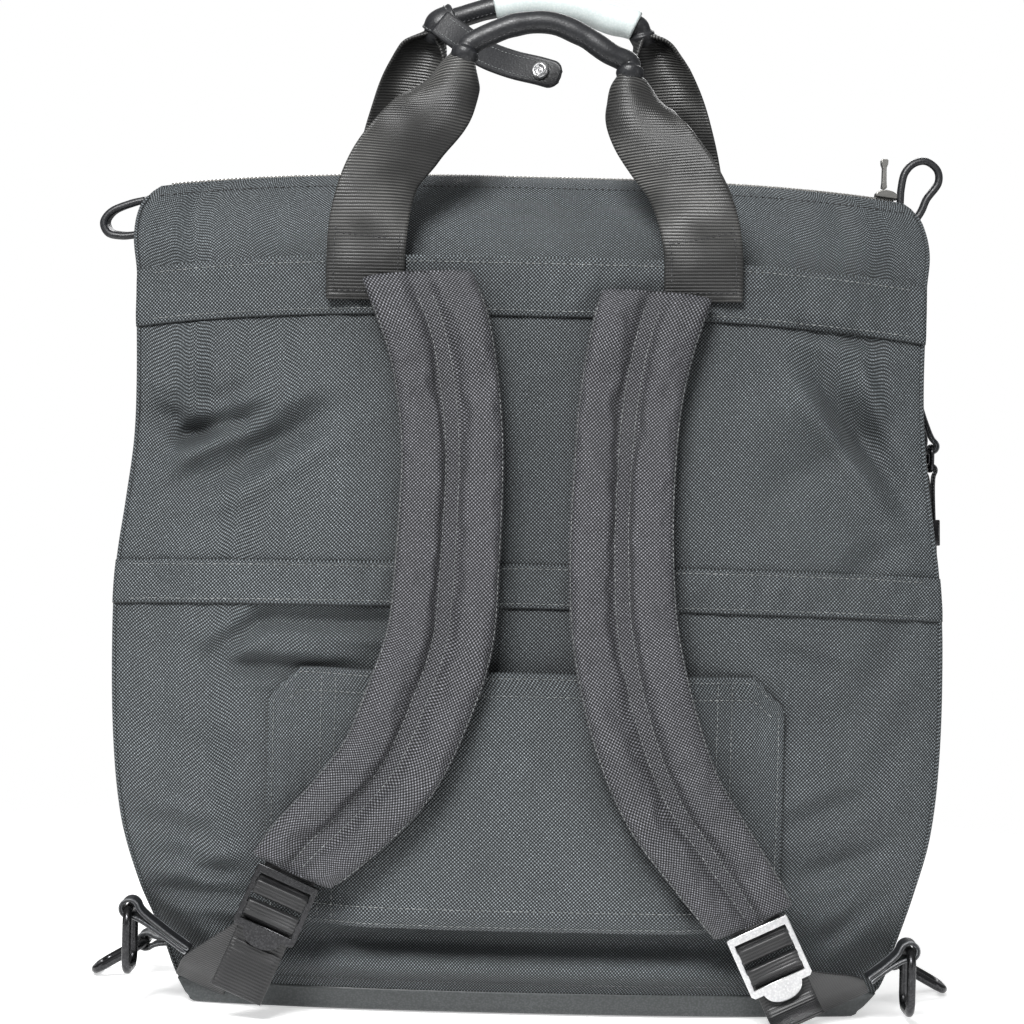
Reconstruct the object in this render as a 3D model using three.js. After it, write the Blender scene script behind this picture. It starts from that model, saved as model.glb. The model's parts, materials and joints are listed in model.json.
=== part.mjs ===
import * as THREE from 'three';

// Convertible backpack: a soft zipped body on a flat base, two carrying handles, two shoulder pads and
// the small hardware at its corners. Millimetres, +Z up, worn side towards -Y, the floor at z = 0.

// Body
const bagWidth = 418; // across the widest part
const bagHeight = 413; // floor to the cloth edge beside the zip
const bagDepth = 144; // worn side to front at the fullest part
const cloth = 2; // wall of the body
const crownPower = 2.6; // how flat the worn side and the front are between their side seams
const clearance = 0.3; // between any two pieces
const trayHeight = 12; // turned-up edge of the base
const trayFloor = 2.5;
const trayRound = 3; // how far the tray's edge is rounded in at the floor
const roofRise = 63; // how far the cloth edge beside the zip is above the seam between body and roof
const roofHeight = bagHeight - roofRise;
const roofLean = 62; // slope of the roof's cloth where it meets the zip, in degrees
const roofSeamGap = 0.75; // between the roof's cloth and the gussets or the zip's tapes

// Zip
const chainWidth = 4;
const chainHeight = 3.2;
const tapeThickness = 1.4;
const tapeReach = 6.4; // centre line to the outer edge of each tape
const sliderLength = 11;
const sliderWidth = 8;
const sliderHeight = 4;
const sliderFromEnd = 5.6; // centre of the slider from the chain's right end
const pullLength = 15;
const pullWidth = 5;
const pullThickness = 2;
const pullEye = 2; // radius of the pull's round foot about its hinge

// Bands and trolley sleeve
const bandThickness = 1.4;
const topBandLow = roofHeight - 10;
const topBandHigh = roofHeight + 17.5;
const midBandHeight = 20.5;
const midBandLow = roofHeight - 151;
const midBandHigh = midBandLow + midBandHeight;
const sleeveWidth = 248;
const sleeveLow = 45;
const sleeveHigh = midBandLow - 31;
const sleeveChamfer = 15;
const sleeveThickness = 1.8;
const sleeveSpace = 8.5; // room for a trolley's handle behind the middle of the sleeve
const sleeveSeamInset = 20; // width sewn down at each side
const foldRoom = 0.5; // extra room over the body's folds, beside the clearance

// Handles
const webbingWidth = 37;
const webbingThickness = 1.8;
const handleSpread = 82; // middle of the bag to the middle of each sewn end
const handleFoot = roofHeight - 4; // height of the sewn ends
const handleRise = 125; // sewn ends to where the webbing enters the grip
const gripRadius = 5.5;
const gripWrap = 1.7; // wall of the collar and of the sleeve on the front grip
const wrapRoom = 0.7; // between those and the grip

// Shoulder pads, buckles and adjusting straps
const padWidth = 52;
const padThickness = 11;
const padArch = 9; // how far the middle of each pad stands off the body
const strapWidth = 25;
const strapThickness = 1.2;
const buckleWall = 2.6; // side rails
const buckleThickness = 2.6;
const topEdge = 4;
const barWidth = 4.5;
const slotEdge = 4;
const slotMiddle = 6;
const tabLength = 6.5;
const padToBuckle = 2; // pad's end to the buckle's upper edge

// Corner hardware
const ringWire = 2.2; // radius of the wire
const ringWidth = 25; // middle of wire to middle of wire
const ringHeight = 29.6;
const ringBend = 7;
const loopWidth = 14;
const loopThickness = 1.8;
const loopPlay = 1; // room round the wire inside a leather loop

// Side adjuster on the right gusset
const sideRingWire = 1.2;
const sideRingSize = 12;
const sideLoopWidth = 8;
const sideStrapThickness = 1.2;
const keeperPlay = 0.5; // between the side strap and what is round it
const sideRingStand = 4.5; // how far the side ring is pulled off the gusset, beside its loop

const materials = {
  cloth: new THREE.MeshStandardMaterial({ color: 0x3a4042, roughness: 0.9, metalness: 0 }),
  padCloth: new THREE.MeshStandardMaterial({ color: 0x424448, roughness: 0.9, metalness: 0 }),
  webbing: new THREE.MeshStandardMaterial({ color: 0x3b3936, roughness: 0.6, metalness: 0 }),
  leather: new THREE.MeshStandardMaterial({ color: 0x232528, roughness: 0.5, metalness: 0 }),
  wrap: new THREE.MeshStandardMaterial({ color: 0xdfe6e6, roughness: 0.35, metalness: 0 }),
  gunmetal: new THREE.MeshStandardMaterial({ color: 0x55565a, roughness: 0.3, metalness: 1 }),
  steel: new THREE.MeshStandardMaterial({ color: 0xc6c9cc, roughness: 0.25, metalness: 1 }),
  zip: new THREE.MeshStandardMaterial({ color: 0x6b6250, roughness: 0.4, metalness: 1 }),
};

const bag = new THREE.Group();

function addPiece(name, geometry, material) {
  const mesh = new THREE.Mesh(geometry, material);
  mesh.name = name;
  bag.add(mesh);
  return mesh;
}

const vector = (x, y, z) => new THREE.Vector3(x, y, z);
const mix = (a, b, t) => a + (b - a) * t;

// Evenly spaced values from first to last, both included.
function spaced(first, last, steps) {
  return Array.from({ length: steps + 1 }, (_, i) => mix(first, last, i / steps));
}

// Reads a table at one value of its key column, with smooth curves through the rows.
function tableReader(rows, key) {
  const columns = Object.keys(rows[0]).filter((column) => column !== key);
  const slope = (i, column) => {
    const a = rows[Math.max(i - 1, 0)];
    const b = rows[Math.min(i + 1, rows.length - 1)];
    return (b[column] - a[column]) / (b[key] - a[key]);
  };
  return (value) => {
    let i = 0;
    while (i < rows.length - 2 && rows[i + 1][key] < value) i += 1;
    const span = rows[i + 1][key] - rows[i][key];
    const t = THREE.MathUtils.clamp((value - rows[i][key]) / span, 0, 1);
    const read = {};
    for (const column of columns) {
      const start = rows[i][column];
      const end = rows[i + 1][column];
      const out = slope(i, column) * span;
      const back = slope(i + 1, column) * span;
      const rise = 3 * t * t - 2 * t * t * t;
      read[column] = start + (end - start) * rise + out * t * (1 - t) ** 2 - back * t * t * (1 - t);
    }
    return read;
  };
}

// Turns triangles into a closed geometry whose faces point outwards.
function solid(points, triangles) {
  let volume = 0;
  for (const [a, b, c] of triangles) {
    volume += points[a].dot(points[b].clone().cross(points[c]));
  }
  const faces = volume < 0 ? triangles.map(([a, b, c]) => [a, c, b]) : triangles;
  const geometry = new THREE.BufferGeometry();
  geometry.setAttribute('position', new THREE.Float32BufferAttribute(points.flatMap((p) => p.toArray()), 3));
  geometry.setIndex(faces.flat());
  geometry.computeVertexNormals();
  return geometry;
}

// A wall between two grids of points, outer and inner; endless grids close on themselves along each row.
function wall(outer, inner, endless = false) {
  const rows = outer.length;
  const columns = outer[0].length;
  const points = [...outer.flat(), ...inner.flat()];
  const at = (side, i, j) => side * rows * columns + i * columns + (j % columns);
  const triangles = [];
  const quad = (a, b, c, d) => triangles.push([a, b, c], [a, c, d]);
  const last = endless ? columns : columns - 1;
  for (let i = 0; i < rows - 1; i += 1) {
    for (let j = 0; j < last; j += 1) {
      quad(at(0, i, j), at(0, i, j + 1), at(0, i + 1, j + 1), at(0, i + 1, j));
      quad(at(1, i, j), at(1, i + 1, j), at(1, i + 1, j + 1), at(1, i, j + 1));
    }
  }
  for (let j = 0; j < last; j += 1) {
    quad(at(0, 0, j), at(1, 0, j), at(1, 0, j + 1), at(0, 0, j + 1));
    quad(at(0, rows - 1, j), at(0, rows - 1, j + 1), at(1, rows - 1, j + 1), at(1, rows - 1, j));
  }
  if (!endless) {
    for (let i = 0; i < rows - 1; i += 1) {
      quad(at(0, i, 0), at(0, i + 1, 0), at(1, i + 1, 0), at(1, i, 0));
      quad(at(0, i, last), at(1, i, last), at(1, i + 1, last), at(0, i + 1, last));
    }
  }
  return solid(points, triangles);
}

// A skin over rings of points. Open runs are capped at both ends, endless ones close on themselves.
function skin(rings, endless = false) {
  const around = rings[0].length;
  const points = rings.flat();
  const triangles = [];
  const at = (i, j) => (i % rings.length) * around + (j % around);
  const spans = endless ? rings.length : rings.length - 1;
  for (let i = 0; i < spans; i += 1) {
    for (let j = 0; j < around; j += 1) {
      triangles.push([at(i, j), at(i, j + 1), at(i + 1, j + 1)], [at(i, j), at(i + 1, j + 1), at(i + 1, j)]);
    }
  }
  if (!endless) {
    for (const [end, turn] of [[0, false], [rings.length - 1, true]]) {
      const middle = points.length;
      const sum = rings[end].reduce((total, p) => total.add(p), vector(0, 0, 0));
      points.push(sum.divideScalar(around));
      for (let j = 0; j < around; j += 1) {
        const pair = [at(end, j), at(end, j + 1)];
        triangles.push(turn ? [middle, ...pair] : [middle, pair[1], pair[0]]);
      }
    }
  }
  return solid(points, triangles);
}

// The two directions across a run of material: facing is where its face points before it is turned.
function runFrame(tangent, facing, turn) {
  const across = tangent.clone().cross(facing).normalize();
  const face = across.clone().cross(tangent).normalize();
  const angle = THREE.MathUtils.degToRad(turn);
  return {
    across: across.clone().applyAxisAngle(tangent, angle),
    face: face.applyAxisAngle(tangent, angle),
  };
}

// Flat webbing or leather along a curve. width, thickness and turn may each be a number or a function.
function ribbon(curve, steps, width, thickness, facing, turn = 0) {
  const value = (given, t) => (typeof given === 'function' ? given(t) : given);
  const rings = spaced(0, 1, steps).map((t) => {
    const middle = curve.getPoint(t);
    const { across, face } = runFrame(curve.getTangent(t), facing, value(turn, t));
    const w = value(width, t) / 2;
    const h = value(thickness, t) / 2;
    return [[-w, -h], [w, -h], [w, h], [-w, h]].map(([a, f]) =>
      middle.clone().addScaledVector(across, a).addScaledVector(face, f));
  });
  return skin(rings);
}

// A round bar along part of a curve.
function roundRun(curve, from, to, steps, sides, radius, facing) {
  const rings = spaced(from, to, steps).map((t) => {
    const middle = curve.getPoint(t);
    const { across, face } = runFrame(curve.getTangent(t), facing, 0);
    return spaced(0, 2 * Math.PI, sides).slice(0, sides).map((angle) =>
      middle.clone().addScaledVector(across, radius * Math.cos(angle)).addScaledVector(face, radius * Math.sin(angle)));
  });
  return rings;
}

const smooth = (points) => new THREE.CatmullRomCurve3(points, false, 'centripetal');

// Half the opening between the roof's two cloth edges, as a share of half the depth.
const leanAngle = THREE.MathUtils.degToRad(roofLean);
const ridgeShare = (tapeReach + cloth * Math.cos(leanAngle) + roofSeamGap) / (bagDepth / 2);

// The body's sections, from the floor to the zip. up and droop are shares of the height, left and right of
// half the width, and back, front and corner (where the side seams run) of half the depth.
const sectionAt = tableReader([
  { up: 0, left: 0.77, right: 0.8, back: 0.66, front: 0.66, corner: 0.48, droop: 0 },
  { up: 0.036, left: 0.825, right: 0.875, back: 0.78, front: 0.78, corner: 0.44, droop: 0 },
  { up: 0.085, left: 0.87, right: 0.915, back: 0.87, front: 0.88, corner: 0.44, droop: 0 },
  { up: 0.145, left: 0.921, right: 0.95, back: 0.94, front: 0.95, corner: 0.5, droop: 0.001 },
  { up: 0.22, left: 0.966, right: 0.984, back: 0.98, front: 0.99, corner: 0.56, droop: 0.002 },
  { up: 0.32, left: 0.99, right: 1, back: 1, front: 1, corner: 0.58, droop: 0.004 },
  { up: 0.45, left: 1, right: 0.999, back: 0.995, front: 0.99, corner: 0.58, droop: 0.005 },
  { up: 0.53, left: 0.994, right: 0.986, back: 0.985, front: 0.97, corner: 0.57, droop: 0.007 },
  { up: 0.605, left: 0.974, right: 0.964, back: 0.96, front: 0.95, corner: 0.56, droop: 0.009 },
  { up: 0.68, left: 0.953, right: 0.943, back: 0.925, front: 0.92, corner: 0.55, droop: 0.012 },
  { up: 0.75, left: 0.947, right: 0.931, back: 0.89, front: 0.89, corner: 0.55, droop: 0.016 },
  { up: 0.847, left: 0.945, right: 0.927, back: 0.85, front: 0.85, corner: 0.55, droop: 0.02 },
  { up: 0.89, left: 0.944, right: 0.926, back: 0.75, front: 0.75, corner: 0.48, droop: 0.02 },
  { up: 0.935, left: 0.955, right: 0.933, back: 0.56, front: 0.56, corner: 0.36, droop: 0.02 },
  { up: 0.972, left: 0.95, right: 0.923, back: 0.34, front: 0.34, corner: 0.21, droop: 0.02 },
  { up: 0.992, left: 0.925, right: 0.9, back: 0.19, front: 0.19, corner: 0.13, droop: 0.02 },
  { up: 1, left: 0.905, right: 0.88, back: ridgeShare, front: ridgeShare, corner: ridgeShare * 0.9, droop: 0.02 },
], 'up');

// Folds and dents of the worn side. across is a share of half the width, up, long and wide are shares of the
// height, sink is a share of the depth, and turn is the fold's slope in degrees.
const folds = [
  { across: -0.84, up: 0.7, long: 0.13, wide: 0.022, turn: -14, sink: 0.03 },
  { across: -0.78, up: 0.755, long: 0.11, wide: 0.026, turn: -8, sink: -0.016 },
  { across: 0.82, up: 0.69, long: 0.12, wide: 0.024, turn: 28, sink: 0.032 },
  { across: 0.72, up: 0.74, long: 0.1, wide: 0.028, turn: 20, sink: -0.018 },
  { across: 0.9, up: 0.6, long: 0.09, wide: 0.024, turn: 48, sink: 0.022 },
  { across: -0.66, up: 0.41, long: 0.14, wide: 0.022, turn: -10, sink: 0.018 },
  { across: -0.8, up: 0.155, long: 0.1, wide: 0.024, turn: -18, sink: 0.026 },
  { across: 0.8, up: 0.2, long: 0.1, wide: 0.026, turn: 16, sink: 0.018 },
  { across: 0.02, up: 0.62, long: 0.16, wide: 0.1, turn: 90, sink: 0.02 },
  { across: 0.1, up: 0.075, long: 0.42, wide: 0.018, turn: -1, sink: 0.022 },
];

// How far the folds sink the worn side at one place.
function foldDepth(across, up) {
  const x = (across * bagWidth) / 2;
  const z = up * bagHeight;
  return folds.reduce((total, fold) => {
    const angle = THREE.MathUtils.degToRad(fold.turn);
    const dx = x - (fold.across * bagWidth) / 2;
    const dz = z - fold.up * bagHeight;
    const along = (dx * Math.cos(angle) + dz * Math.sin(angle)) / (fold.long * bagHeight);
    const over = (dz * Math.cos(angle) - dx * Math.sin(angle)) / (fold.wide * bagHeight);
    return total + fold.sink * bagDepth * Math.exp(-along * along - over * over);
  }, 0);
}

const worn = -1;
const front = 1;

// A point on the outside of the body: side is worn or front, across runs from -1 to 1 between the side seams.
function bodyPoint(side, across, up) {
  const section = sectionAt(up);
  const half = (bagWidth / 2) * (across < 0 ? section.left : section.right);
  const reach = side === worn ? section.back : section.front;
  const edge = Math.abs(across);
  const fade = (1 - edge ** 8) * (up < roofHeight / bagHeight ? 1 : 0);
  const dent = side === worn ? foldDepth(across, up) * fade : 0;
  const depth = (bagDepth / 2) * mix(section.corner, reach, 1 - edge ** crownPower) - dent;
  return vector(half * across, side * depth, bagHeight * (up - section.droop * edge ** 3));
}

// Depth of the body at a place given by its width and height.
function bodyDepth(side, x, z) {
  const section = sectionAt(z / bagHeight);
  const half = (bagWidth / 2) * (x < 0 ? section.left : section.right);
  return bodyPoint(side, THREE.MathUtils.clamp(x / half, -1, 1), z / bagHeight).y * side;
}

// One of the body's faces between two heights, in cloth that thickens inwards; lean tips that direction
// down over the roof, in degrees at the upper edge.
function bodyPanel(side, heights, across, lean) {
  const outer = [];
  const inner = [];
  heights.forEach((z, i) => {
    const angle = THREE.MathUtils.degToRad(lean) * (i / (heights.length - 1));
    const inwards = vector(0, -side * Math.cos(angle), -Math.sin(angle)).multiplyScalar(cloth);
    const row = spaced(-1, 1, across).map((share) => bodyPoint(side, share, z / bagHeight));
    outer.push(row);
    inner.push(row.map((point) => point.clone().add(inwards)));
  });
  return wall(outer, inner);
}

const bodyHeights = spaced(trayHeight + clearance, roofHeight - clearance / 2, 16);
const roofHeights = spaced(roofHeight + clearance / 2, bagHeight, 7);

addPiece('back_panel', bodyPanel(worn, bodyHeights, 20, 0), materials.cloth);
addPiece('front_panel', bodyPanel(front, bodyHeights, 12, 0), materials.cloth);
addPiece('roof_back', bodyPanel(worn, roofHeights, 14, roofLean), materials.cloth);
addPiece('roof_front', bodyPanel(front, roofHeights, 14, roofLean), materials.cloth);

// Outside of a gusset at one height, at a share of its width from -1 (worn side) to 1.
function gussetPoint(hand, share, up) {
  const section = sectionAt(up);
  const half = (bagWidth / 2) * (hand < 0 ? section.left : section.right);
  const seamGap = up * bagHeight > roofHeight ? roofSeamGap : clearance;
  const reach = (bagDepth / 2) * section.corner - cloth - seamGap;
  return vector(hand * half, share * reach, bagHeight * (up - section.droop));
}

function gusset(hand) {
  const heights = [...bodyHeights, ...roofHeights];
  const row = (z) => spaced(-1, 1, 2).map((share) => gussetPoint(hand, share, z / bagHeight));
  const outer = heights.map(row);
  const inner = outer.map((points) => points.map((p) => p.clone().add(vector(-hand * cloth, 0, 0))));
  return wall(outer, inner);
}

for (const [side, hand] of [['left', -1], ['right', 1]]) {
  addPiece(`gusset_${side}`, gusset(hand), materials.cloth);
}

// The base: a flat floor whose edge turns up to meet the walls.
function outlineAt(up, inset) {
  const points = [];
  const faces = spaced(-1, 1, 14);
  const sides = [-0.4, 0.4];
  const push = (point) => {
    const flat = Math.hypot(point.x, point.y);
    const pull = vector(-point.x, -point.y, 0).multiplyScalar(inset / flat);
    const shift = vector(Math.sign(pull.x) * Math.min(Math.abs(pull.x) + inset * 0.4, inset),
      Math.sign(pull.y) * Math.min(Math.abs(pull.y) + inset * 0.4, inset), 0);
    points.push(point.add(shift));
  };
  faces.forEach((share) => push(bodyPoint(worn, share, up)));
  sides.forEach((share) => push(gussetPoint(1, share, up)));
  faces.forEach((share) => push(bodyPoint(front, -share, up)));
  sides.forEach((share) => push(gussetPoint(-1, -share, up)));
  return points;
}

function baseTray() {
  const level = (up, inset, z) => outlineAt(up / bagHeight, inset).map((p) => vector(p.x, p.y, z));
  return skin([
    level(0, trayRound, 0),
    level(trayRound, 0, trayRound),
    level(trayHeight, 0, trayHeight),
    level(trayHeight, cloth, trayHeight),
    level(trayFloor, cloth, trayFloor),
  ]);
}

addPiece('base_tray', baseTray(), materials.cloth);

// The zip along the ridge: two tapes, the chain of teeth between them, the slider and its pull.
const ridgeAt = (x) => {
  const section = sectionAt(1);
  const half = (bagWidth / 2) * (x < 0 ? section.left : section.right);
  return bagHeight * (1 - section.droop * Math.abs(x / half) ** 3);
};
const ridgeEnd = (hand) => {
  const section = sectionAt(1);
  return hand * ((bagWidth / 2) * (hand < 0 ? section.left : section.right) - cloth - clearance);
};

function ridgeBar(nearest, furthest, low, high) {
  const rings = spaced(ridgeEnd(-1), ridgeEnd(1), 24).map((x) => {
    const z = ridgeAt(x);
    return [vector(x, nearest, z + low), vector(x, furthest, z + low),
      vector(x, furthest, z + high), vector(x, nearest, z + high)];
  });
  return skin(rings);
}

const tapeStart = chainWidth / 2 + clearance;
addPiece('zip_tape_back', ridgeBar(-tapeReach, -tapeStart, -tapeThickness, 0), materials.webbing);
addPiece('zip_tape_front', ridgeBar(tapeStart, tapeReach, -tapeThickness, 0), materials.webbing);
const chainTop = chainHeight - tapeThickness;
const sliderAcross = ridgeEnd(1) - sliderFromEnd;
addPiece('zip_chain', ridgeBar(-chainWidth / 2, chainWidth / 2, -tapeThickness, chainTop), materials.zip);

// Slope of the ridge under the slider, as an angle about Y.
const sliderFoot = ridgeAt(sliderAcross) + chainTop + clearance;
const sliderSlope = Math.atan2(
  ridgeAt(sliderAcross - sliderLength / 2) - ridgeAt(sliderAcross + sliderLength / 2), sliderLength);

function sliderShape() {
  const shape = new THREE.Shape();
  const half = sliderLength / 2;
  shape.moveTo(-half, 0);
  shape.lineTo(half, 0);
  shape.lineTo(half, sliderHeight * 0.45);
  shape.quadraticCurveTo(half * 0.7, sliderHeight, 0, sliderHeight);
  shape.quadraticCurveTo(-half * 0.7, sliderHeight, -half, sliderHeight * 0.45);
  shape.closePath();
  const geometry = new THREE.ExtrudeGeometry(shape, { depth: sliderWidth, bevelEnabled: false, curveSegments: 4 });
  geometry.rotateX(Math.PI / 2);
  geometry.translate(0, sliderWidth / 2, 0);
  return geometry;
}

const slider = addPiece('zip_slider', sliderShape(), materials.zip);
slider.rotation.y = sliderSlope;
slider.position.set(sliderAcross, 0, sliderFoot);

// The pull stands on a round foot just above the slider.
const pullHinge = vector(sliderAcross - 1, 0, sliderFoot + sliderHeight + clearance + pullEye + 0.4);
function pullShape() {
  const shape = new THREE.Shape();
  shape.absarc(0, 0, pullEye, Math.PI * 1.25, Math.PI * 1.75, false);
  shape.lineTo(pullThickness / 2, pullEye);
  shape.lineTo(pullThickness / 2, pullLength * 0.6);
  shape.lineTo(pullThickness * 0.9, pullLength * 0.72);
  shape.lineTo(pullThickness * 0.9, pullLength - pullEye);
  shape.lineTo(-pullThickness * 0.9, pullLength - pullEye);
  shape.lineTo(-pullThickness * 0.9, pullLength * 0.72);
  shape.lineTo(-pullThickness / 2, pullLength * 0.6);
  shape.lineTo(-pullThickness / 2, pullEye);
  shape.closePath();
  const geometry = new THREE.ExtrudeGeometry(shape, { depth: pullWidth, bevelEnabled: false, curveSegments: 4 });
  geometry.rotateX(Math.PI / 2);
  geometry.translate(0, pullWidth / 2, 0);
  return geometry;
}
const pull = addPiece('zip_pull', pullShape(), materials.zip);
pull.position.copy(pullHinge);

// Bands: strips laid over the body. Above the roof seam the top bands stand straight up.
const bandSewnBelow = 6; // the band leaves the body this far under the roof seam
const bandStand = clearance + foldRoom / 2; // between the body and the bands sewn to it
function bandWall(side, low, high, lift, thickness, droop, columns, rows) {
  const outer = [];
  const inner = [];
  const sewn = roofHeight - bandSewnBelow;
  spaced(low, high, rows).forEach((z, i) => {
    const up = Math.min(z, sewn) / bagHeight;
    const shares = spaced(-1, 1, columns);
    const points = shares.map((share) => {
      const point = bodyPoint(side, share, up);
      const stand = bandStand + lift * (i / rows) * (1 - share ** 6);
      return vector(point.x, point.y + side * stand, z - droop * Math.abs(share) ** 3);
    });
    inner.push(points);
    outer.push(points.map((p) => p.clone().add(vector(0, side * thickness, 0))));
  });
  return wall(outer, inner);
}

const topBandLift = 2.5;
const droopAt = (z) => sectionAt(z / bagHeight).droop * bagHeight;
const topBandDroop = droopAt(roofHeight - bandSewnBelow);
addPiece('top_band_back',
  bandWall(worn, topBandLow, topBandHigh, topBandLift, bandThickness, topBandDroop, 20, 3), materials.cloth);
addPiece('top_band_front',
  bandWall(front, topBandLow, topBandHigh, topBandLift, bandThickness, topBandDroop, 12, 3), materials.cloth);
const midBandDroop = droopAt((midBandLow + midBandHigh) / 2);
addPiece('mid_band',
  bandWall(worn, midBandLow, midBandHigh, 0, bandThickness, midBandDroop, 20, 1), materials.cloth);

// The trolley sleeve: sewn down at both sides, open above and below.
function trolleySleeve() {
  const half = sleeveWidth / 2;
  const columns = [-1, -0.92, -1 + sleeveSeamInset / half, -0.6, -0.3, 0, 0.3, 0.6, 1 - sleeveSeamInset / half, 0.92, 1];
  const rows = 6;
  const outer = [];
  const inner = [];
  spaced(0, 1, rows).forEach((share) => {
    const points = columns.map((column) => {
      const x = column * half;
      const cut = Math.max(0, Math.abs(x) - (half - sleeveChamfer));
      const z = mix(sleeveLow, sleeveHigh - cut, share);
      const open = THREE.MathUtils.clamp((half - sleeveSeamInset - Math.abs(x)) / (half * 0.25), 0, 1);
      const smoothOpen = open * open * (3 - 2 * open);
      return vector(x, -bodyDepth(worn, x, z) - clearance - foldRoom - sleeveSpace * smoothOpen, z);
    });
    inner.push(points);
    outer.push(points.map((p) => p.clone().add(vector(0, -sleeveThickness, 0))));
  });
  return wall(outer, inner);
}

addPiece('trolley_sleeve', trolleySleeve(), materials.cloth);

// Handles. across is a share of handleSpread, out of half the depth and up of handleRise; wide is a share of the
// webbing's width, thick of its thickness as it rolls up, and turn is its twist in degrees.
const seatedBelow = 0.3; // rows lower than this share of the rise lie on the band
const handleRuns = {
  back_left: { side: worn, rows: [
    { across: -1, out: 0.92, up: 0, wide: 1, thick: 1, turn: 0 },
    { across: -1, out: 0.955, up: 0.2, wide: 1, thick: 1, turn: 0 },
    { across: -0.97, out: 0.97, up: 0.35, wide: 0.98, thick: 1, turn: 14 },
    { across: -0.9, out: 0.94, up: 0.49, wide: 0.97, thick: 1, turn: 24 },
    { across: -0.76, out: 0.87, up: 0.63, wide: 0.93, thick: 1.2, turn: 8 },
    { across: -0.61, out: 0.79, up: 0.76, wide: 0.84, thick: 2, turn: -16 },
    { across: -0.52, out: 0.73, up: 0.88, wide: 0.56, thick: 4, turn: -24 },
    { across: -0.455, out: 0.69, up: 0.97, wide: 0.3, thick: 5.6, turn: -30 }] },
  back_right: { side: worn, rows: [
    { across: 0.985, out: 0.92, up: 0.02, wide: 1, thick: 1, turn: 0 },
    { across: 0.975, out: 0.955, up: 0.22, wide: 0.98, thick: 1, turn: 0 },
    { across: 0.92, out: 0.97, up: 0.36, wide: 0.96, thick: 1, turn: -16 },
    { across: 0.83, out: 0.94, up: 0.48, wide: 0.95, thick: 1, turn: -26 },
    { across: 0.66, out: 0.87, up: 0.61, wide: 0.9, thick: 1.2, turn: -12 },
    { across: 0.58, out: 0.79, up: 0.73, wide: 0.74, thick: 2, turn: 14 },
    { across: 0.535, out: 0.73, up: 0.84, wide: 0.5, thick: 4, turn: 20 },
    { across: 0.53, out: 0.69, up: 0.91, wide: 0.3, thick: 5.6, turn: 26 }] },
  front_left: { side: front, rows: [
    { across: -1, out: 0.92, up: 0, wide: 1, thick: 1, turn: 0 },
    { across: -1, out: 0.96, up: 0.2, wide: 1, thick: 1, turn: 0 },
    { across: -0.985, out: 0.95, up: 0.4, wide: 1, thick: 1, turn: 8 },
    { across: -0.94, out: 0.89, up: 0.61, wide: 0.98, thick: 1, turn: 14 },
    { across: -0.885, out: 0.79, up: 0.78, wide: 0.94, thick: 1, turn: 10 },
    { across: -0.8, out: 0.68, up: 0.95, wide: 0.84, thick: 1.6, turn: 0 },
    { across: -0.715, out: 0.58, up: 1.09, wide: 0.56, thick: 4, turn: -10 },
    { across: -0.66, out: 0.53, up: 1.17, wide: 0.3, thick: 5.6, turn: -14 }] },
  front_right: { side: front, rows: [
    { across: 0.99, out: 0.92, up: 0, wide: 1, thick: 1, turn: 0 },
    { across: 0.99, out: 0.96, up: 0.2, wide: 1, thick: 1, turn: 0 },
    { across: 0.99, out: 0.95, up: 0.4, wide: 1, thick: 1, turn: -8 },
    { across: 0.97, out: 0.89, up: 0.6, wide: 0.98, thick: 1, turn: -14 },
    { across: 0.9, out: 0.79, up: 0.78, wide: 0.94, thick: 1, turn: -10 },
    { across: 0.8, out: 0.68, up: 0.95, wide: 0.84, thick: 1.6, turn: 0 },
    { across: 0.71, out: 0.58, up: 1.09, wide: 0.56, thick: 4, turn: 10 },
    { across: 0.645, out: 0.53, up: 1.18, wide: 0.3, thick: 5.6, turn: 14 }] },
};

// How far out the top band's face is at a place on it.
function bandFace(side, x, z) {
  const lift = THREE.MathUtils.clamp((z - topBandLow) / (topBandHigh - topBandLow), 0, 1) * topBandLift;
  return bodyDepth(side, x, roofHeight - bandSewnBelow) + bandStand + lift + bandThickness;
}

// The sewn ends lie on the band's face; higher rows follow the table.
function handlePoint(run, row) {
  const x = row.across * handleSpread;
  const z = handleFoot + row.up * handleRise;
  const innerEdge = x - (Math.sign(x) * webbingWidth) / 2;
  const seat = bandFace(run.side, innerEdge, z) + clearance + foldRoom / 2 + webbingThickness / 2;
  const depth = row.up < seatedBelow ? seat : row.out * (bagDepth / 2);
  return vector(x, run.side * depth, z);
}

function handleWebbing(run) {
  const points = run.rows.map((row) => handlePoint(run, row));
  const read = tableReader(run.rows.map((row, i) => ({ ...row, share: i / (run.rows.length - 1) })), 'share');
  const facing = vector(0, run.side, 0);
  const width = (t) => read(t).wide * webbingWidth;
  const thickness = (t) => read(t).thick * webbingThickness;
  const turn = (t) => read(t).turn;
  return ribbon(smooth(points), 18, width, thickness, facing, turn);
}

for (const [place, run] of Object.entries(handleRuns)) {
  addPiece(`handle_webbing_${place}`, handleWebbing(run), materials.webbing);
}

// Grips: rolled leather between the webbing ends. The middle rows set the arch.
function gripCurve(left, right, arch) {
  const ends = [left, right].map((name) => {
    const run = handleRuns[name];
    const points = run.rows.slice(-2).map((row) => handlePoint(run, row));
    const away = points[1].clone().sub(points[0]).normalize();
    return [clearance * 2, gripRadius].map((step) => points[1].clone().addScaledVector(away, step));
  }).map(([start, next]) => ({ start, next }));
  const middle = arch.map(({ share, rise, out }) => {
    const along = ends[0].start.clone().lerp(ends[1].start, share);
    const highest = Math.max(ends[0].start.z, ends[1].start.z);
    return vector(along.x, along.y + out * bagDepth, highest + rise * handleRise);
  });
  return smooth([ends[0].start, ends[0].next, ...middle, ends[1].next, ends[1].start]);
}

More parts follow.
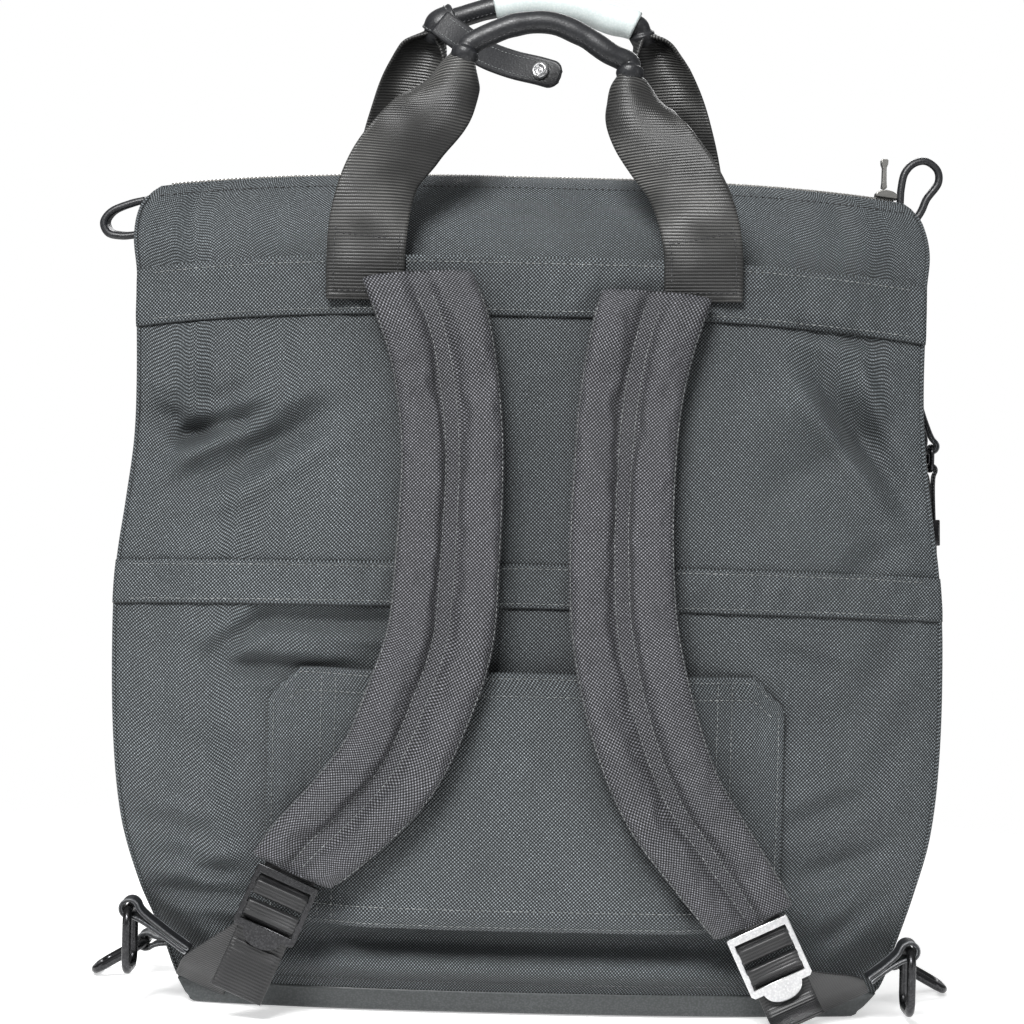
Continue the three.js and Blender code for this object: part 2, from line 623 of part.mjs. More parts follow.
// share runs from the left end to the right, rise is a share of handleRise and out of the depth.
const backGrip = gripCurve('back_left', 'back_right', [
  { share: 0.16, rise: 0.082, out: 0.004 },
  { share: 0.32, rise: 0.12, out: 0.006 },
  { share: 0.52, rise: 0.128, out: 0.008 },
  { share: 0.72, rise: 0.078, out: 0.006 },
  { share: 0.88, rise: 0.012, out: 0.002 },
]);
const frontGrip = gripCurve('front_left', 'front_right', [
  { share: 0.14, rise: 0.066, out: -0.004 },
  { share: 0.3, rise: 0.106, out: -0.008 },
  { share: 0.5, rise: 0.127, out: -0.01 },
  { share: 0.7, rise: 0.106, out: -0.008 },
  { share: 0.86, rise: 0.062, out: -0.004 },
]);
const frontwards = vector(0, 1, 0);
addPiece('grip_back', skin(roundRun(backGrip, 0, 1, 18, 8, gripRadius, frontwards)), materials.leather);
addPiece('grip_front', skin(roundRun(frontGrip, 0, 1, 18, 8, gripRadius, frontwards)), materials.leather);

// A wrap round part of the front grip, from and to as shares of its curve.
function gripWrapping(from, to, steps) {
  const inner = roundRun(frontGrip, from, to, steps, 8, gripRadius + wrapRoom, frontwards);
  const outer = roundRun(frontGrip, from, to, steps, 8, gripRadius + wrapRoom + gripWrap, frontwards);
  return wall(outer, inner, true);
}

const collarFrom = 0.03;
const collarTo = 0.2;
addPiece('handle_collar', gripWrapping(collarFrom, collarTo, 4), materials.leather);
addPiece('grip_sleeve', gripWrapping(0.36, 0.86, 10), materials.wrap);

// The snap tab hangs from the collar between the two grips. Rows are shares of tabReach and tabDrop.
const snapWidth = 13;
const snapThickness = 2.2;
const tabReach = 62;
const tabDrop = 33;
const tabForward = 38;
const collarMiddle = frontGrip.getPoint((collarFrom + collarTo) / 2);
const tabStandOff = gripRadius + wrapRoom + gripWrap + clearance + snapThickness / 2 + 0.2;
const snapRows = [
  { reach: 0, forward: 0, drop: 0 },
  { reach: 0.16, forward: 0.16, drop: 0.24 },
  { reach: 0.38, forward: 0.48, drop: 0.57 },
  { reach: 0.62, forward: 0.74, drop: 0.78 },
  { reach: 0.84, forward: 0.9, drop: 0.9 },
  { reach: 1, forward: 1, drop: 1 },
];
const snapCurve = smooth(snapRows.map(({ reach, forward, drop }) =>
  collarMiddle.clone().add(vector(reach * tabReach, -tabStandOff - forward * tabForward, -drop * tabDrop))));
const snapTaper = (t) => (t > 0.93 ? snapWidth * mix(1, 0.6, (t - 0.93) / 0.07) : snapWidth);
addPiece('snap_tab', ribbon(snapCurve, 14, snapTaper, snapThickness, vector(0, -1, 0)), materials.leather);

const studAt = 0.81;
const studRadius = 4.5;
const studHeight = 2.4;
const stud = addPiece('snap_stud', new THREE.CylinderGeometry(studRadius * 0.8, studRadius, studHeight, 16), materials.steel);
const studFrame = runFrame(snapCurve.getTangent(studAt), vector(0, -1, 0), 0);
stud.quaternion.setFromUnitVectors(vector(0, 1, 0), studFrame.face);
stud.position.copy(snapCurve.getPoint(studAt)
  .addScaledVector(studFrame.face, snapThickness / 2 + clearance + studHeight / 2));

// Leather loops at both ends of the ridge. out is measured from the gusset's face and up from the loop's height,
// both as shares of loopReach.
const endLoopWidth = 8;
const endLoopThickness = 1.8;
const loopReach = 18;
function endLoop(hand, height, rows) {
  const points = rows.map(({ out, up }) => {
    const z = height + up * loopReach;
    const face = gussetPoint(hand, 0, Math.min(z / bagHeight + 0.02, 1)).x;
    return vector(face + hand * (clearance + endLoopThickness * 0.5 + out * loopReach), 0, z);
  });
  return ribbon(smooth(points), 14, endLoopWidth, endLoopThickness, frontwards, 90);
}

const ridgeFoot = bagHeight * (1 - sectionAt(1).droop);
addPiece('end_loop_left', endLoop(-1, ridgeFoot - 15.7, [
  { out: 0, up: 0.52 },
  { out: 0.32, up: 0.42 },
  { out: 0.78, up: 0.16 },
  { out: 0.92, up: -0.14 },
  { out: 0.78, up: -0.42 },
  { out: 0.4, up: -0.5 },
  { out: 0, up: -0.46 },
]), materials.leather);
addPiece('end_loop_right', endLoop(1, ridgeFoot - 0.7, [
  { out: -0.12, up: 0.08 },
  { out: -0.1, up: 0.5 },
  { out: 0, up: 0.95 },
  { out: 0.25, up: 1.22 },
  { out: 0.58, up: 1.28 },
  { out: 0.9, up: 1.04 },
  { out: 0.94, up: 0.7 },
  { out: 0.62, up: 0.22 },
  { out: 0.3, up: -0.1 },
  { out: 0, up: -0.32 },
]), materials.leather);

// Shoulder pads. across is a share of half the width, up of the height, wide of padWidth, thick of padThickness
// and arch of padArch.
const padRuns = {
  left: [
    { across: -0.276, up: 0.869, wide: 1.04, thick: 0.62, arch: 0 },
    { across: -0.222, up: 0.8, wide: 1, thick: 0.9, arch: 0.25 },
    { across: -0.195, up: 0.731, wide: 0.97, thick: 1, arch: 0.6 },
    { across: -0.182, up: 0.663, wide: 0.96, thick: 1, arch: 0.85 },
    { across: -0.187, up: 0.536, wide: 0.98, thick: 1, arch: 1 },
    { across: -0.2, up: 0.444, wide: 1, thick: 1, arch: 0.9 },
    { across: -0.246, up: 0.369, wide: 1, thick: 1, arch: 0.72 },
    { across: -0.306, up: 0.3, wide: 0.96, thick: 1, arch: 0.6 },
    { across: -0.394, up: 0.245, wide: 0.9, thick: 0.95, arch: 0.5 },
    { across: -0.478, up: 0.202, wide: 0.84, thick: 0.8, arch: 0.42 },
    { across: -0.526, up: 0.1735, wide: 0.8, thick: 0.62, arch: 0.36 },
  ],
  right: [
    { across: 0.28, up: 0.852, wide: 1.04, thick: 0.62, arch: 0 },
    { across: 0.249, up: 0.8, wide: 1, thick: 0.9, arch: 0.25 },
    { across: 0.223, up: 0.725, wide: 0.97, thick: 1, arch: 0.6 },
    { across: 0.211, up: 0.633, wide: 0.96, thick: 1, arch: 0.85 },
    { across: 0.209, up: 0.541, wide: 0.98, thick: 1, arch: 1 },
    { across: 0.222, up: 0.45, wide: 1, thick: 1, arch: 0.9 },
    { across: 0.27, up: 0.347, wide: 1, thick: 1, arch: 0.72 },
    { across: 0.335, up: 0.267, wide: 0.96, thick: 1, arch: 0.6 },
    { across: 0.42, up: 0.205, wide: 0.9, thick: 0.95, arch: 0.5 },
    { across: 0.492, up: 0.155, wide: 0.84, thick: 0.8, arch: 0.42 },
    { across: 0.531, up: 0.1255, wide: 0.8, thick: 0.62, arch: 0.36 },
  ],
};

// Outline of a pad's section: along is a share of half its width, high of its thickness above the underside.
const padOutline = [
  { along: -1, high: 0.22 }, { along: -0.86, high: 0.8 }, { along: -0.52, high: 1 }, { along: -0.2, high: 0.84 },
  { along: -0.12, high: 0.5 }, { along: 0.12, high: 0.5 }, { along: 0.2, high: 0.84 }, { along: 0.52, high: 1 },
  { along: 0.86, high: 0.8 }, { along: 1, high: 0.22 }, { along: 0.7, high: 0 }, { along: -0.7, high: 0 },
];

// What lies under the pads: the band's face and the handle webbing at the top, the sleeve lower down.
function padSeat(x, z) {
  const innerEdge = x - (Math.sign(x) * padWidth) / 2;
  const body = bodyDepth(worn, innerEdge, Math.min(z, roofHeight - bandSewnBelow));
  const overBand = bandStand + bandThickness + topBandLift + clearance + webbingThickness + clearance;
  const overBody = bandStand + bandThickness + clearance;
  const overSleeve = clearance + foldRoom + sleeveSpace + sleeveThickness + clearance;
  const atTop = THREE.MathUtils.smoothstep(z, topBandLow - 30, topBandLow - 4);
  const atSleeve = 1 - THREE.MathUtils.smoothstep(z, sleeveHigh + 4, sleeveHigh + 30);
  return body + Math.max(mix(overBody, overBand, atTop), overSleeve * atSleeve);
}

function padCurve(rows) {
  return smooth(rows.map(({ across, up, arch }) => {
    const x = (across * bagWidth) / 2;
    const z = up * bagHeight;
    return vector(x, -padSeat(x, z) - arch * padArch, z);
  }));
}

function shoulderPad(rows, plate) {
  const curve = padCurve(rows);
  const read = tableReader(rows.map((row, i) => ({ ...row, share: i / (rows.length - 1) })), 'share');
  const rings = spaced(0, 1, 24).map((t) => {
    const middle = curve.getPoint(t);
    const tangent = curve.getTangent(t);
    const across = vector(tangent.z, 0, -tangent.x).normalize();
    const sewnEnd = 1 - THREE.MathUtils.smoothstep(t, 0, 0.12);
    across.lerp(vector(-1, 0, 0), sewnEnd * 0.8).lerp(plate.across, THREE.MathUtils.smoothstep(t, 0.88, 1)).normalize();
    const { wide, thick } = read(t);
    return padOutline.map(({ along, high }) => middle.clone()
      .addScaledVector(across, (along * wide * padWidth) / 2)
      .add(vector(0, -high * thick * padThickness, 0)));
  });
  return skin(rings);
}

// Ladder buckles below the pads. Their plates hang along the end of each pad; a point is given by how far down the
// plate it lies, how far across and how far out.
const bucklePlaces = {
  left: { hand: -1, tilt: 23, end: padRuns.left[padRuns.left.length - 1] },
  right: { hand: 1, tilt: 25.5, end: padRuns.right[padRuns.right.length - 1] },
};
const slotOne = topEdge;
const barOne = slotOne + slotEdge;
const slotTwo = barOne + barWidth;
const barTwo = slotTwo + slotMiddle;
const slotThree = barTwo + barWidth;
const lowEdge = slotThree + slotEdge;
const plateLength = lowEdge + topEdge;

function buckleFrame({ hand, tilt, end }) {
  const x = (end.across * bagWidth) / 2;
  const z = end.up * bagHeight;
  const angle = THREE.MathUtils.degToRad(tilt);
  const down = vector(hand * Math.sin(angle), 0, -Math.cos(angle));
  const out = vector(0, -1, 0);
  const across = down.clone().cross(out);
  const start = vector(x, -padSeat(x, z) - end.arch * padArch - buckleThickness, z).addScaledVector(down, padToBuckle);
  return { down, out, across, start };
}

const onPlate = (frame, along, outwards, sideways = 0) => frame.start.clone()
  .addScaledVector(frame.down, along)
  .addScaledVector(frame.out, outwards)
  .addScaledVector(frame.across, sideways);

function bucklePlate() {
  const half = strapWidth / 2 + clearance * 2;
  const outer = half + buckleWall;
  const shape = new THREE.Shape();
  shape.moveTo(-outer, 0);
  shape.lineTo(outer, 0);
  shape.lineTo(outer, plateLength - 1.5);
  shape.lineTo(outer - 1.5, plateLength);
  shape.lineTo(half * 0.75, plateLength);
  shape.quadraticCurveTo(half * 0.62, plateLength + tabLength, 0, plateLength + tabLength);
  shape.quadraticCurveTo(-half * 0.62, plateLength + tabLength, -half * 0.75, plateLength);
  shape.lineTo(1.5 - outer, plateLength);
  shape.lineTo(-outer, plateLength - 1.5);
  shape.closePath();
  for (const [from, length] of [[slotOne, slotEdge], [slotTwo, slotMiddle], [slotThree, slotEdge]]) {
    const slot = new THREE.Path();
    slot.moveTo(-half, from);
    slot.lineTo(-half, from + length);
    slot.lineTo(half, from + length);
    slot.lineTo(half, from);
    slot.closePath();
    shape.holes.push(slot);
  }
  const geometry = new THREE.ExtrudeGeometry(shape, { depth: buckleThickness, bevelEnabled: false, curveSegments: 6 });
  geometry.translate(0, 0, -buckleThickness / 2);
  return geometry;
}

// Straps pass over a bar at this height above the middle of the plate, and behind it at its negative.
const overBar = buckleThickness / 2 + clearance + strapThickness / 2;
const layer = strapThickness + clearance;

// Two points of a strap rounding one edge of a bar: level is 1 on the outer face of the plate and -1 behind it,
// and away is the direction along the plate that leaves the bar.
function roundCorner(edge, level, away) {
  const room = strapThickness / 2 + clearance;
  const height = level * (buckleThickness / 2);
  const points = [[edge + away * room * 0.35, height + level * room * 1.05],
    [edge + away * room * 1.05, height + level * room * 0.35]];
  return away * level > 0 ? points : points.reverse();
}

// The corner loops' places: root is where each is sewn on and eye where its ring hangs, as shares of half the width
// and of the height. beside is how far the ring is from the side seam, as a share of ringWidth.
const cornerHardware = {
  back_left: { hand: -1, side: worn, beside: -0.084, rootAcross: -0.775, rootUp: 0.067, eyeAcross: -0.912, eyeUp: 0.116, lying: false },
  back_right: { hand: 1, side: worn, beside: 0.022, rootAcross: 0.815, rootUp: 0.052, eyeAcross: 0.906, eyeUp: 0.087, lying: false },
  front_left: { hand: -1, side: front, beside: -0.128, rootAcross: -0.79, rootUp: 0.044, eyeAcross: -0.928, eyeUp: 0.043, lying: true },
  front_right: { hand: 1, side: front, beside: -0.15, rootAcross: 0.83, rootUp: 0.044, eyeAcross: 0.93, eyeUp: 0.041, lying: true },
};

// The adjusting straps' ends: where the root is sewn to the lower corner and how the tail falls. overhang is how far
// the strap's outer edge passes the root of the corner loop, as a share of loopWidth.
const adjusters = {
  left: {
    root: [{ overhang: 0.07, up: 0.052, stand: 14 }, { overhang: 0.37, up: 0.036, stand: 7 }, { overhang: 0.52, up: 0.024, stand: 2 }],
    tail: [{ along: 36, outwards: -0.6 }, { along: 48, outwards: 0.4 }, { along: 62, outwards: 1.2 }],
  },
  right: {
    root: [{ overhang: -0.3, up: 0.042, stand: 12 }, { overhang: 0, up: 0.03, stand: 5 }, { overhang: 0.15, up: 0.02, stand: 1 }],
    tail: [{ along: 38.5, outwards: -0.3 }, { along: 43, outwards: 3 }, { along: 45.7, outwards: 10 }, { along: 46.2, outwards: 19 }],
  },
};

for (const [side, place] of Object.entries(bucklePlaces)) {
  const frame = buckleFrame(place);
  addPiece(`pad_${side}`, shoulderPad(padRuns[side], frame), materials.padCloth);
  const buckle = addPiece(`buckle_${side}`, bucklePlate(), side === 'left' ? materials.gunmetal : materials.steel);
  const basis = new THREE.Matrix4().makeBasis(frame.across, frame.down, frame.out);
  buckle.quaternion.setFromRotationMatrix(basis);
  buckle.position.copy(frame.start);

  // The pad's own loop: from the pad's end behind the upper edge, up through the first slot, round the
  // first bar and back.
  const loopRoute = [
    [-padToBuckle + clearance * 2, -overBar], [topEdge * 0.8, -overBar], ...roundCorner(slotOne, -1, 1),
    [slotOne + slotEdge * 0.6, 0], ...roundCorner(barOne, 1, -1), [barOne + barWidth / 2, overBar],
    ...roundCorner(slotTwo, 1, 1), [slotTwo + 1, 0], ...roundCorner(slotTwo, -1, 1),
    [barOne + barWidth / 2, -overBar - layer], [topEdge, -overBar - layer],
    [-padToBuckle + clearance * 2, -overBar - layer],
  ];
  const loopCurve = smooth(loopRoute.map(([along, outwards]) => onPlate(frame, along, outwards)));
  addPiece(`buckle_loop_${side}`,
    ribbonAcross(loopCurve, 32, strapWidth, strapThickness, frame.across), materials.webbing);

  // The adjusting strap: root at the lower corner, up behind the plate, over the second bar and down as a tail.
  const { root, tail } = adjusters[side];
  const loopRoot = (cornerHardware[`back_${side}`].rootAcross * bagWidth) / 2;
  const rootPoints = root.map(({ overhang, up, stand }) => {
    const x = loopRoot + place.hand * (overhang * loopWidth - strapWidth / 2);
    const z = up * bagHeight;
    return vector(x, -bodyDepth(worn, x, z) - clearance - strapThickness / 2 - stand, z);
  }).reverse();
  const climb = [
    [lowEdge, -overBar - layer * 1.2], [barTwo + 2, -overBar - layer * 1.2], [barTwo - 0.9, -overBar - 0.9],
    ...roundCorner(barTwo, -1, -1).slice(1), [barTwo - 1, 0], ...roundCorner(barTwo, 1, -1),
    [barTwo + barWidth / 2, overBar], ...roundCorner(slotThree, 1, 1), [slotThree + slotEdge / 2, 0],
    ...roundCorner(lowEdge, -1, -1).reverse(), [plateLength - 1, -overBar],
  ].map(([along, outwards]) => onPlate(frame, along, outwards));
  const tailPoints = tail.map(({ along, outwards }) => onPlate(frame, along, outwards - overBar));
  const strapCurve = smooth([...rootPoints, ...climb, ...tailPoints]);
  addPiece(`adjuster_${side}`,
    ribbonAcross(strapCurve, 46, strapWidth, strapThickness, frame.across), materials.webbing);
}

// Flat webbing that keeps one direction across it along the whole curve.
function ribbonAcross(curve, steps, width, thickness, across) {
  const rings = spaced(0, 1, steps).map((t) => {
    const middle = curve.getPoint(t);
    const face = across.clone().cross(curve.getTangent(t)).normalize();
    return [[-1, -1], [1, -1], [1, 1], [-1, 1]].map(([a, f]) => middle.clone()
      .addScaledVector(across, (a * width) / 2)
      .addScaledVector(face, (f * thickness) / 2));
  });
  return skin(rings);
}

// A strap folded round a wire that runs along Y: root and eye lie in the X-Z plane at depth y.
function foldedLoop(root, eye, y, width, thickness, wire, spread) {
  const away = vector(eye.x - root.x, 0, eye.z - root.z);
  const length = away.length();
  away.normalize();
  const over = vector(-away.z, 0, away.x);
  const radius = wire + loopPlay + thickness / 2;
  const place = (along, sideways) => vector(root.x, y, root.z).addScaledVector(away, along).addScaledVector(over, sideways);
  const neck = thickness / 2 + spread;
  const points = [place(0, neck), place(length * 0.45, neck), place(length - radius * 1.2, neck + radius * 0.25)];
  for (const angle of spaced(0.62 * Math.PI, -0.62 * Math.PI, 8)) {
    points.push(place(length + radius * Math.cos(angle), radius * Math.sin(angle)));
  }
  points.push(place(length - radius * 1.2, -neck - radius * 0.25), place(length * 0.45, -neck), place(0, -neck));
  return ribbonAcross(smooth(points), 24, width, thickness, vector(0, 1, 0));
}

// A ring of round wire whose top bar runs along Y through the origin; it hangs down along -Z.
function wireRing(width, height, bend, wire, steps, sides) {
  const path = new THREE.Path();
  const w = width / 2;
  path.moveTo(-w + bend, 0);
  path.lineTo(w - bend, 0);
  path.absarc(w - bend, -bend, bend, Math.PI / 2, 0, true);
  path.lineTo(w, -height + bend);
  path.absarc(w - bend, -height + bend, bend, 0, -Math.PI / 2, true);
  path.lineTo(-w + bend, -height);
  path.absarc(-w + bend, -height + bend, bend, -Math.PI / 2, -Math.PI, true);
  path.lineTo(-w, -bend);
  path.absarc(-w + bend, -bend, bend, Math.PI, Math.PI / 2, true);
  const rings = spaced(0, 1, steps).slice(0, steps).map((t) => {
    const at = path.getPointAt(t);
    const tangent = path.getTangentAt(t);
    const outwards = vector(0, -tangent.y, tangent.x);
    return spaced(0, 2 * Math.PI, sides).slice(0, sides).map((angle) => vector(0, at.x, at.y)
      .addScaledVector(outwards, wire * Math.cos(angle))
      .add(vector(wire * Math.sin(angle), 0, 0)));
  });
  return skin(rings, true);
}

// Corner hardware: each lower corner has a leather loop with a ring. The rings of the worn side hang free; those of
// the front lean outwards onto the floor.
const floorGap = 0.6;

for (const [corner, place] of Object.entries(cornerHardware)) {
  const seam = (sectionAt(place.eyeUp).corner * bagDepth) / 2;
  const y = place.side * (seam + ringWidth * (0.5 + place.beside) + ringWire);
  const root = vector((place.rootAcross * bagWidth) / 2, y, place.rootUp * bagHeight);
  const eye = vector((place.eyeAcross * bagWidth) / 2, y, place.eyeUp * bagHeight);
  addPiece(`corner_loop_${corner}`,
    foldedLoop(root, eye, y, loopWidth, loopThickness, ringWire, clearance / 2), materials.leather);
  const ring = addPiece(`corner_ring_${corner}`,
    wireRing(ringWidth, ringHeight, ringBend, ringWire, 24, 6), materials.gunmetal);
  ring.position.copy(eye);
  if (place.lying) {
    const reach = Math.min((eye.z - ringWire - floorGap) / ringHeight, 1);
    ring.rotation.y = -place.hand * (Math.PI / 2 - Math.asin(reach));
  }
}

// Side adjuster on the right gusset: leather loop, small ring, webbing loop, slider and the sewn anchor below.
const sideTop = roofHeight - 44;
const sideEye = roofHeight - 67;
const sideAnchor = roofHeight - 150;
const sideFace = (z) => gussetPoint(1, 0, z / bagHeight + sectionAt(z / bagHeight).droop).x + clearance;
const sideRingX = sideFace(sideEye) + sideRingWire + loopPlay + loopThickness + sideRingStand;
const sideRoot = vector(sideFace(sideTop) + loopThickness + clearance, 0, sideTop);
addPiece('side_loop', foldedLoop(sideRoot, vector(sideRingX, 0, sideEye), 0, sideLoopWidth, loopThickness,
  sideRingWire, clearance / 2), materials.leather);
const sideRing = addPiece('side_ring',
  wireRing(sideRingSize, sideRingSize, 4, sideRingWire, 20, 6), materials.gunmetal);
sideRing.position.set(sideRingX, 0, sideEye);

const strapEye = vector(sideRingX, 0, sideEye - sideRingSize);
const strapFoot = vector(sideFace(sideAnchor) + sideStrapThickness * 2 + foldRoom, 0, sideAnchor);
addPiece('side_strap', foldedLoop(strapFoot, strapEye, 0, sideLoopWidth, sideStrapThickness,
  sideRingWire, clearance), materials.webbing);

// A four-sided sleeve round both layers of the side strap: from and to are heights above the strap's foot,
// nearer and wider its two ends' inner half depths.
function strapKeeper(from, to, nearer, wider, thickness) {
  const direction = strapEye.clone().sub(strapFoot).normalize();
  const outwards = vector(direction.z, 0, -direction.x);
  const ring = (along, depth, across) => [[-1, -1], [1, -1], [1, 1], [-1, 1]].map(([o, y]) => strapFoot.clone()
    .addScaledVector(direction, along)
    .addScaledVector(outwards, o * depth)
    .add(vector(0, y * across, 0)));
  const across = sideLoopWidth / 2 + keeperPlay;
  const inner = [ring(from, nearer, across), ring(to, wider, across)];
  const outer = [ring(from, nearer + thickness, across + thickness), ring(to, wider + thickness, across + thickness)];
  return wall(outer, inner, true);
}

const strapHalf = sideStrapThickness + clearance; // outer face of the folded strap from its middle
const sliderLow = 33;
const sliderTall = 13;
const anchorTall = 10;
addPiece('side_slider',
  strapKeeper(sliderLow, sliderLow + sliderTall, strapHalf + keeperPlay, strapHalf + keeperPlay * 1.8, 1.2),
  materials.gunmetal);
addPiece('side_anchor', strapKeeper(-2, anchorTall, strapHalf + clearance, strapHalf + clearance, 0.9), materials.leather);

export default bag;
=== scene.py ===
# %% [markdown]
# # A convertible backpack, from cloth to zip teeth
#
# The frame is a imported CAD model: every solid already sits where it belongs. This notebook gives each of
# them its looks. Soft pieces are rebuilt as cloth on the same places, and hard pieces keep their shape and
# get a finish.

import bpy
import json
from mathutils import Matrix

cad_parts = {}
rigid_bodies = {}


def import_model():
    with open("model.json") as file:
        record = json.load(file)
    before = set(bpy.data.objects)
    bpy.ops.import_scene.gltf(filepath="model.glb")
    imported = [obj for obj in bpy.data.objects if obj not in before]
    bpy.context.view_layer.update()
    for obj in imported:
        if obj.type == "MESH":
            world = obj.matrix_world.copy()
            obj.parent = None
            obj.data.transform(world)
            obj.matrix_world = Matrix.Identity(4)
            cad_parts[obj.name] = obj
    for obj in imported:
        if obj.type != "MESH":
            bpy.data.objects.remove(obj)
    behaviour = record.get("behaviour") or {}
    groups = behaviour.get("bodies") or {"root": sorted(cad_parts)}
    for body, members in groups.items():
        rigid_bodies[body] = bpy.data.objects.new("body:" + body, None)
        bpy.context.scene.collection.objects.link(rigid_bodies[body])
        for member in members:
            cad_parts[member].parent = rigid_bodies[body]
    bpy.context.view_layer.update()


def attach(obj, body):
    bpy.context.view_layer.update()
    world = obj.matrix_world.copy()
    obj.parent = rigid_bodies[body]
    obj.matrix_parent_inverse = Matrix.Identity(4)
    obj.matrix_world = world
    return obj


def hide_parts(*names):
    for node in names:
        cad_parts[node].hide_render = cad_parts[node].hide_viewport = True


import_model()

# %% [markdown]
# ## Tools
# The shapes below are computed as arrays of points, so numpy does the arithmetic and Blender receives
# finished meshes. All sizes are written in millimetres, the unit a bag maker uses, and become metres when a
# mesh is made.

# %% Imports and units
import math

import bmesh
import bpy
import numpy as np
from mathutils import Matrix, Vector

MM = 0.001
rng = np.random.default_rng(418)
print("imports ready")

# %% [markdown]
# ## Camera, floor and light
# The bag stands upright and is seen square on from its worn side, from about its middle height. A short
# lens close by would bend its outline, so the lens is long and the camera stands well back. It is rolled a
# little over one degree, which makes the bag lean as it does in the picture.

# %% Camera
camera_data = bpy.data.cameras.new("camera")
camera_data.lens = 94.57
camera_data.sensor_width = 36
camera = bpy.data.objects.new("camera", camera_data)
camera.location = (-0.009, -1.36, 0.245)
camera.rotation_euler = (math.radians(90), math.radians(-1.35), 0)
bpy.context.scene.collection.objects.link(camera)
bpy.context.scene.camera = camera
bpy.context.scene.view_settings.view_transform = "Standard"
print("camera at", tuple(camera.location), "lens", camera_data.lens, "mm")

# %% [markdown]
# A plain pale floor and a bright surrounding give the even daylight of a product picture. The surroundings
# are nearly white for the camera. For light and reflections they are darker near the horizon, because
# polished metal shows nothing but what is around it and would look like chalk in an all-white room.

# %% Floor
def plain_material(name, color, roughness):
    material = bpy.data.materials.new(name)
    material.use_nodes = True
    shader = material.node_tree.nodes["Principled BSDF"]
    shader.inputs["Base Color"].default_value = (*color, 1)
    shader.inputs["Roughness"].default_value = roughness
    return material


floor_mesh = bpy.data.meshes.new("floor")
floor_form = bmesh.new()
bmesh.ops.create_circle(floor_form, cap_ends=True, segments=96, radius=7)
floor_form.to_mesh(floor_mesh)
floor_form.free()
floor = bpy.data.objects.new("floor", floor_mesh)
floor.location.z = -0.0004
pale = plain_material("pale floor", (0.9, 0.9, 0.895), 0.7)
where = pale.node_tree.nodes.new("ShaderNodeTexCoord")
reach = pale.node_tree.nodes.new("ShaderNodeVectorMath")
reach.operation = "LENGTH"
fade = pale.node_tree.nodes.new("ShaderNodeMapRange")
fade.interpolation_type = "SMOOTHSTEP"
fade.inputs["From Min"].default_value = 0.35
fade.inputs["From Max"].default_value = 0.9
fade.inputs["To Min"].default_value = 1
fade.inputs["To Max"].default_value = 0
pale.node_tree.links.new(where.outputs["Object"], reach.inputs[0])
pale.node_tree.links.new(reach.outputs["Value"], fade.inputs["Value"])
pale.node_tree.links.new(fade.outputs[0], pale.node_tree.nodes["Principled BSDF"].inputs["Alpha"])
shade = pale.node_tree.nodes["Principled BSDF"]
shade.inputs["Emission Color"].default_value = (1, 1, 1, 1)
shade.inputs["Emission Strength"].default_value = 0.5
floor.data.materials.append(pale)
bpy.context.scene.collection.objects.link(floor)
print("floor made")

# %% Surroundings
world = bpy.data.worlds.new("studio")
world.use_nodes = True
bpy.context.scene.world = world
sky = world.node_tree
sky.nodes.clear()
place = sky.nodes.new("ShaderNodeTexCoord")
split = sky.nodes.new("ShaderNodeSeparateXYZ")
ramp = sky.nodes.new("ShaderNodeValToRGB")
lift = sky.nodes.new("ShaderNodeMapRange")
lit = sky.nodes.new("ShaderNodeBackground")
seen = sky.nodes.new("ShaderNodeBackground")
path = sky.nodes.new("ShaderNodeLightPath")
join = sky.nodes.new("ShaderNodeMixShader")
out = sky.nodes.new("ShaderNodeOutputWorld")
sky.links.new(place.outputs["Generated"], split.inputs[0])
sky.links.new(split.outputs["Z"], lift.inputs["Value"])
lift.inputs["From Min"].default_value = -1
sky.links.new(lift.outputs[0], ramp.inputs["Fac"])
ramp.color_ramp.elements[0].position = 0.3
ramp.color_ramp.elements[0].color = (0.62, 0.62, 0.61, 1)
ramp.color_ramp.elements[1].position = 0.95
ramp.color_ramp.elements[1].color = (1, 1, 1, 1)
middle = ramp.color_ramp.elements.new(0.53)
middle.color = (0.42, 0.43, 0.45, 1)
sky.links.new(ramp.outputs["Color"], lit.inputs["Color"])
lit.inputs["Strength"].default_value = 0.4
seen.inputs["Color"].default_value = (1, 1, 1, 1)
seen.inputs["Strength"].default_value = 1
sky.links.new(path.outputs["Is Camera Ray"], join.inputs["Fac"])
sky.links.new(lit.outputs[0], join.inputs[1])
sky.links.new(seen.outputs[0], join.inputs[2])
sky.links.new(join.outputs[0], out.inputs["Surface"])
print("surroundings made")

# %% [markdown]
# Four broad lamps: a large one above and in front that models the folds, a weaker one from each side, and
# one behind that rims the handles. All are big for their distance, so their shadows have soft edges.

# %% Lamps
def lamp(name, place, aim, size, watts):
    data = bpy.data.lights.new(name, "AREA")
    data.shape = "RECTANGLE"
    data.size = size[0]
    data.size_y = size[1]
    data.energy = watts
    item = bpy.data.objects.new(name, data)
    item.location = place
    item.rotation_euler = (Vector(aim) - Vector(place)).to_track_quat("-Z", "Y").to_euler()
    bpy.context.scene.collection.objects.link(item)
    return item


lamp("key", (-0.45, -1.45, 1.45), (0, 0, 0.2), (0.7, 0.5), 52)
lamp("left", (-1.9, -0.9, 0.4), (0, 0, 0.2), (0.5, 0.9), 4)
lamp("right", (1.8, -1.2, 0.3), (0, 0, 0.2), (0.5, 0.8), 5)
lamp("behind", (0.3, 1.8, 1.4), (0, 0, 0.3), (1.2, 0.8), 16)
print("lamps made")

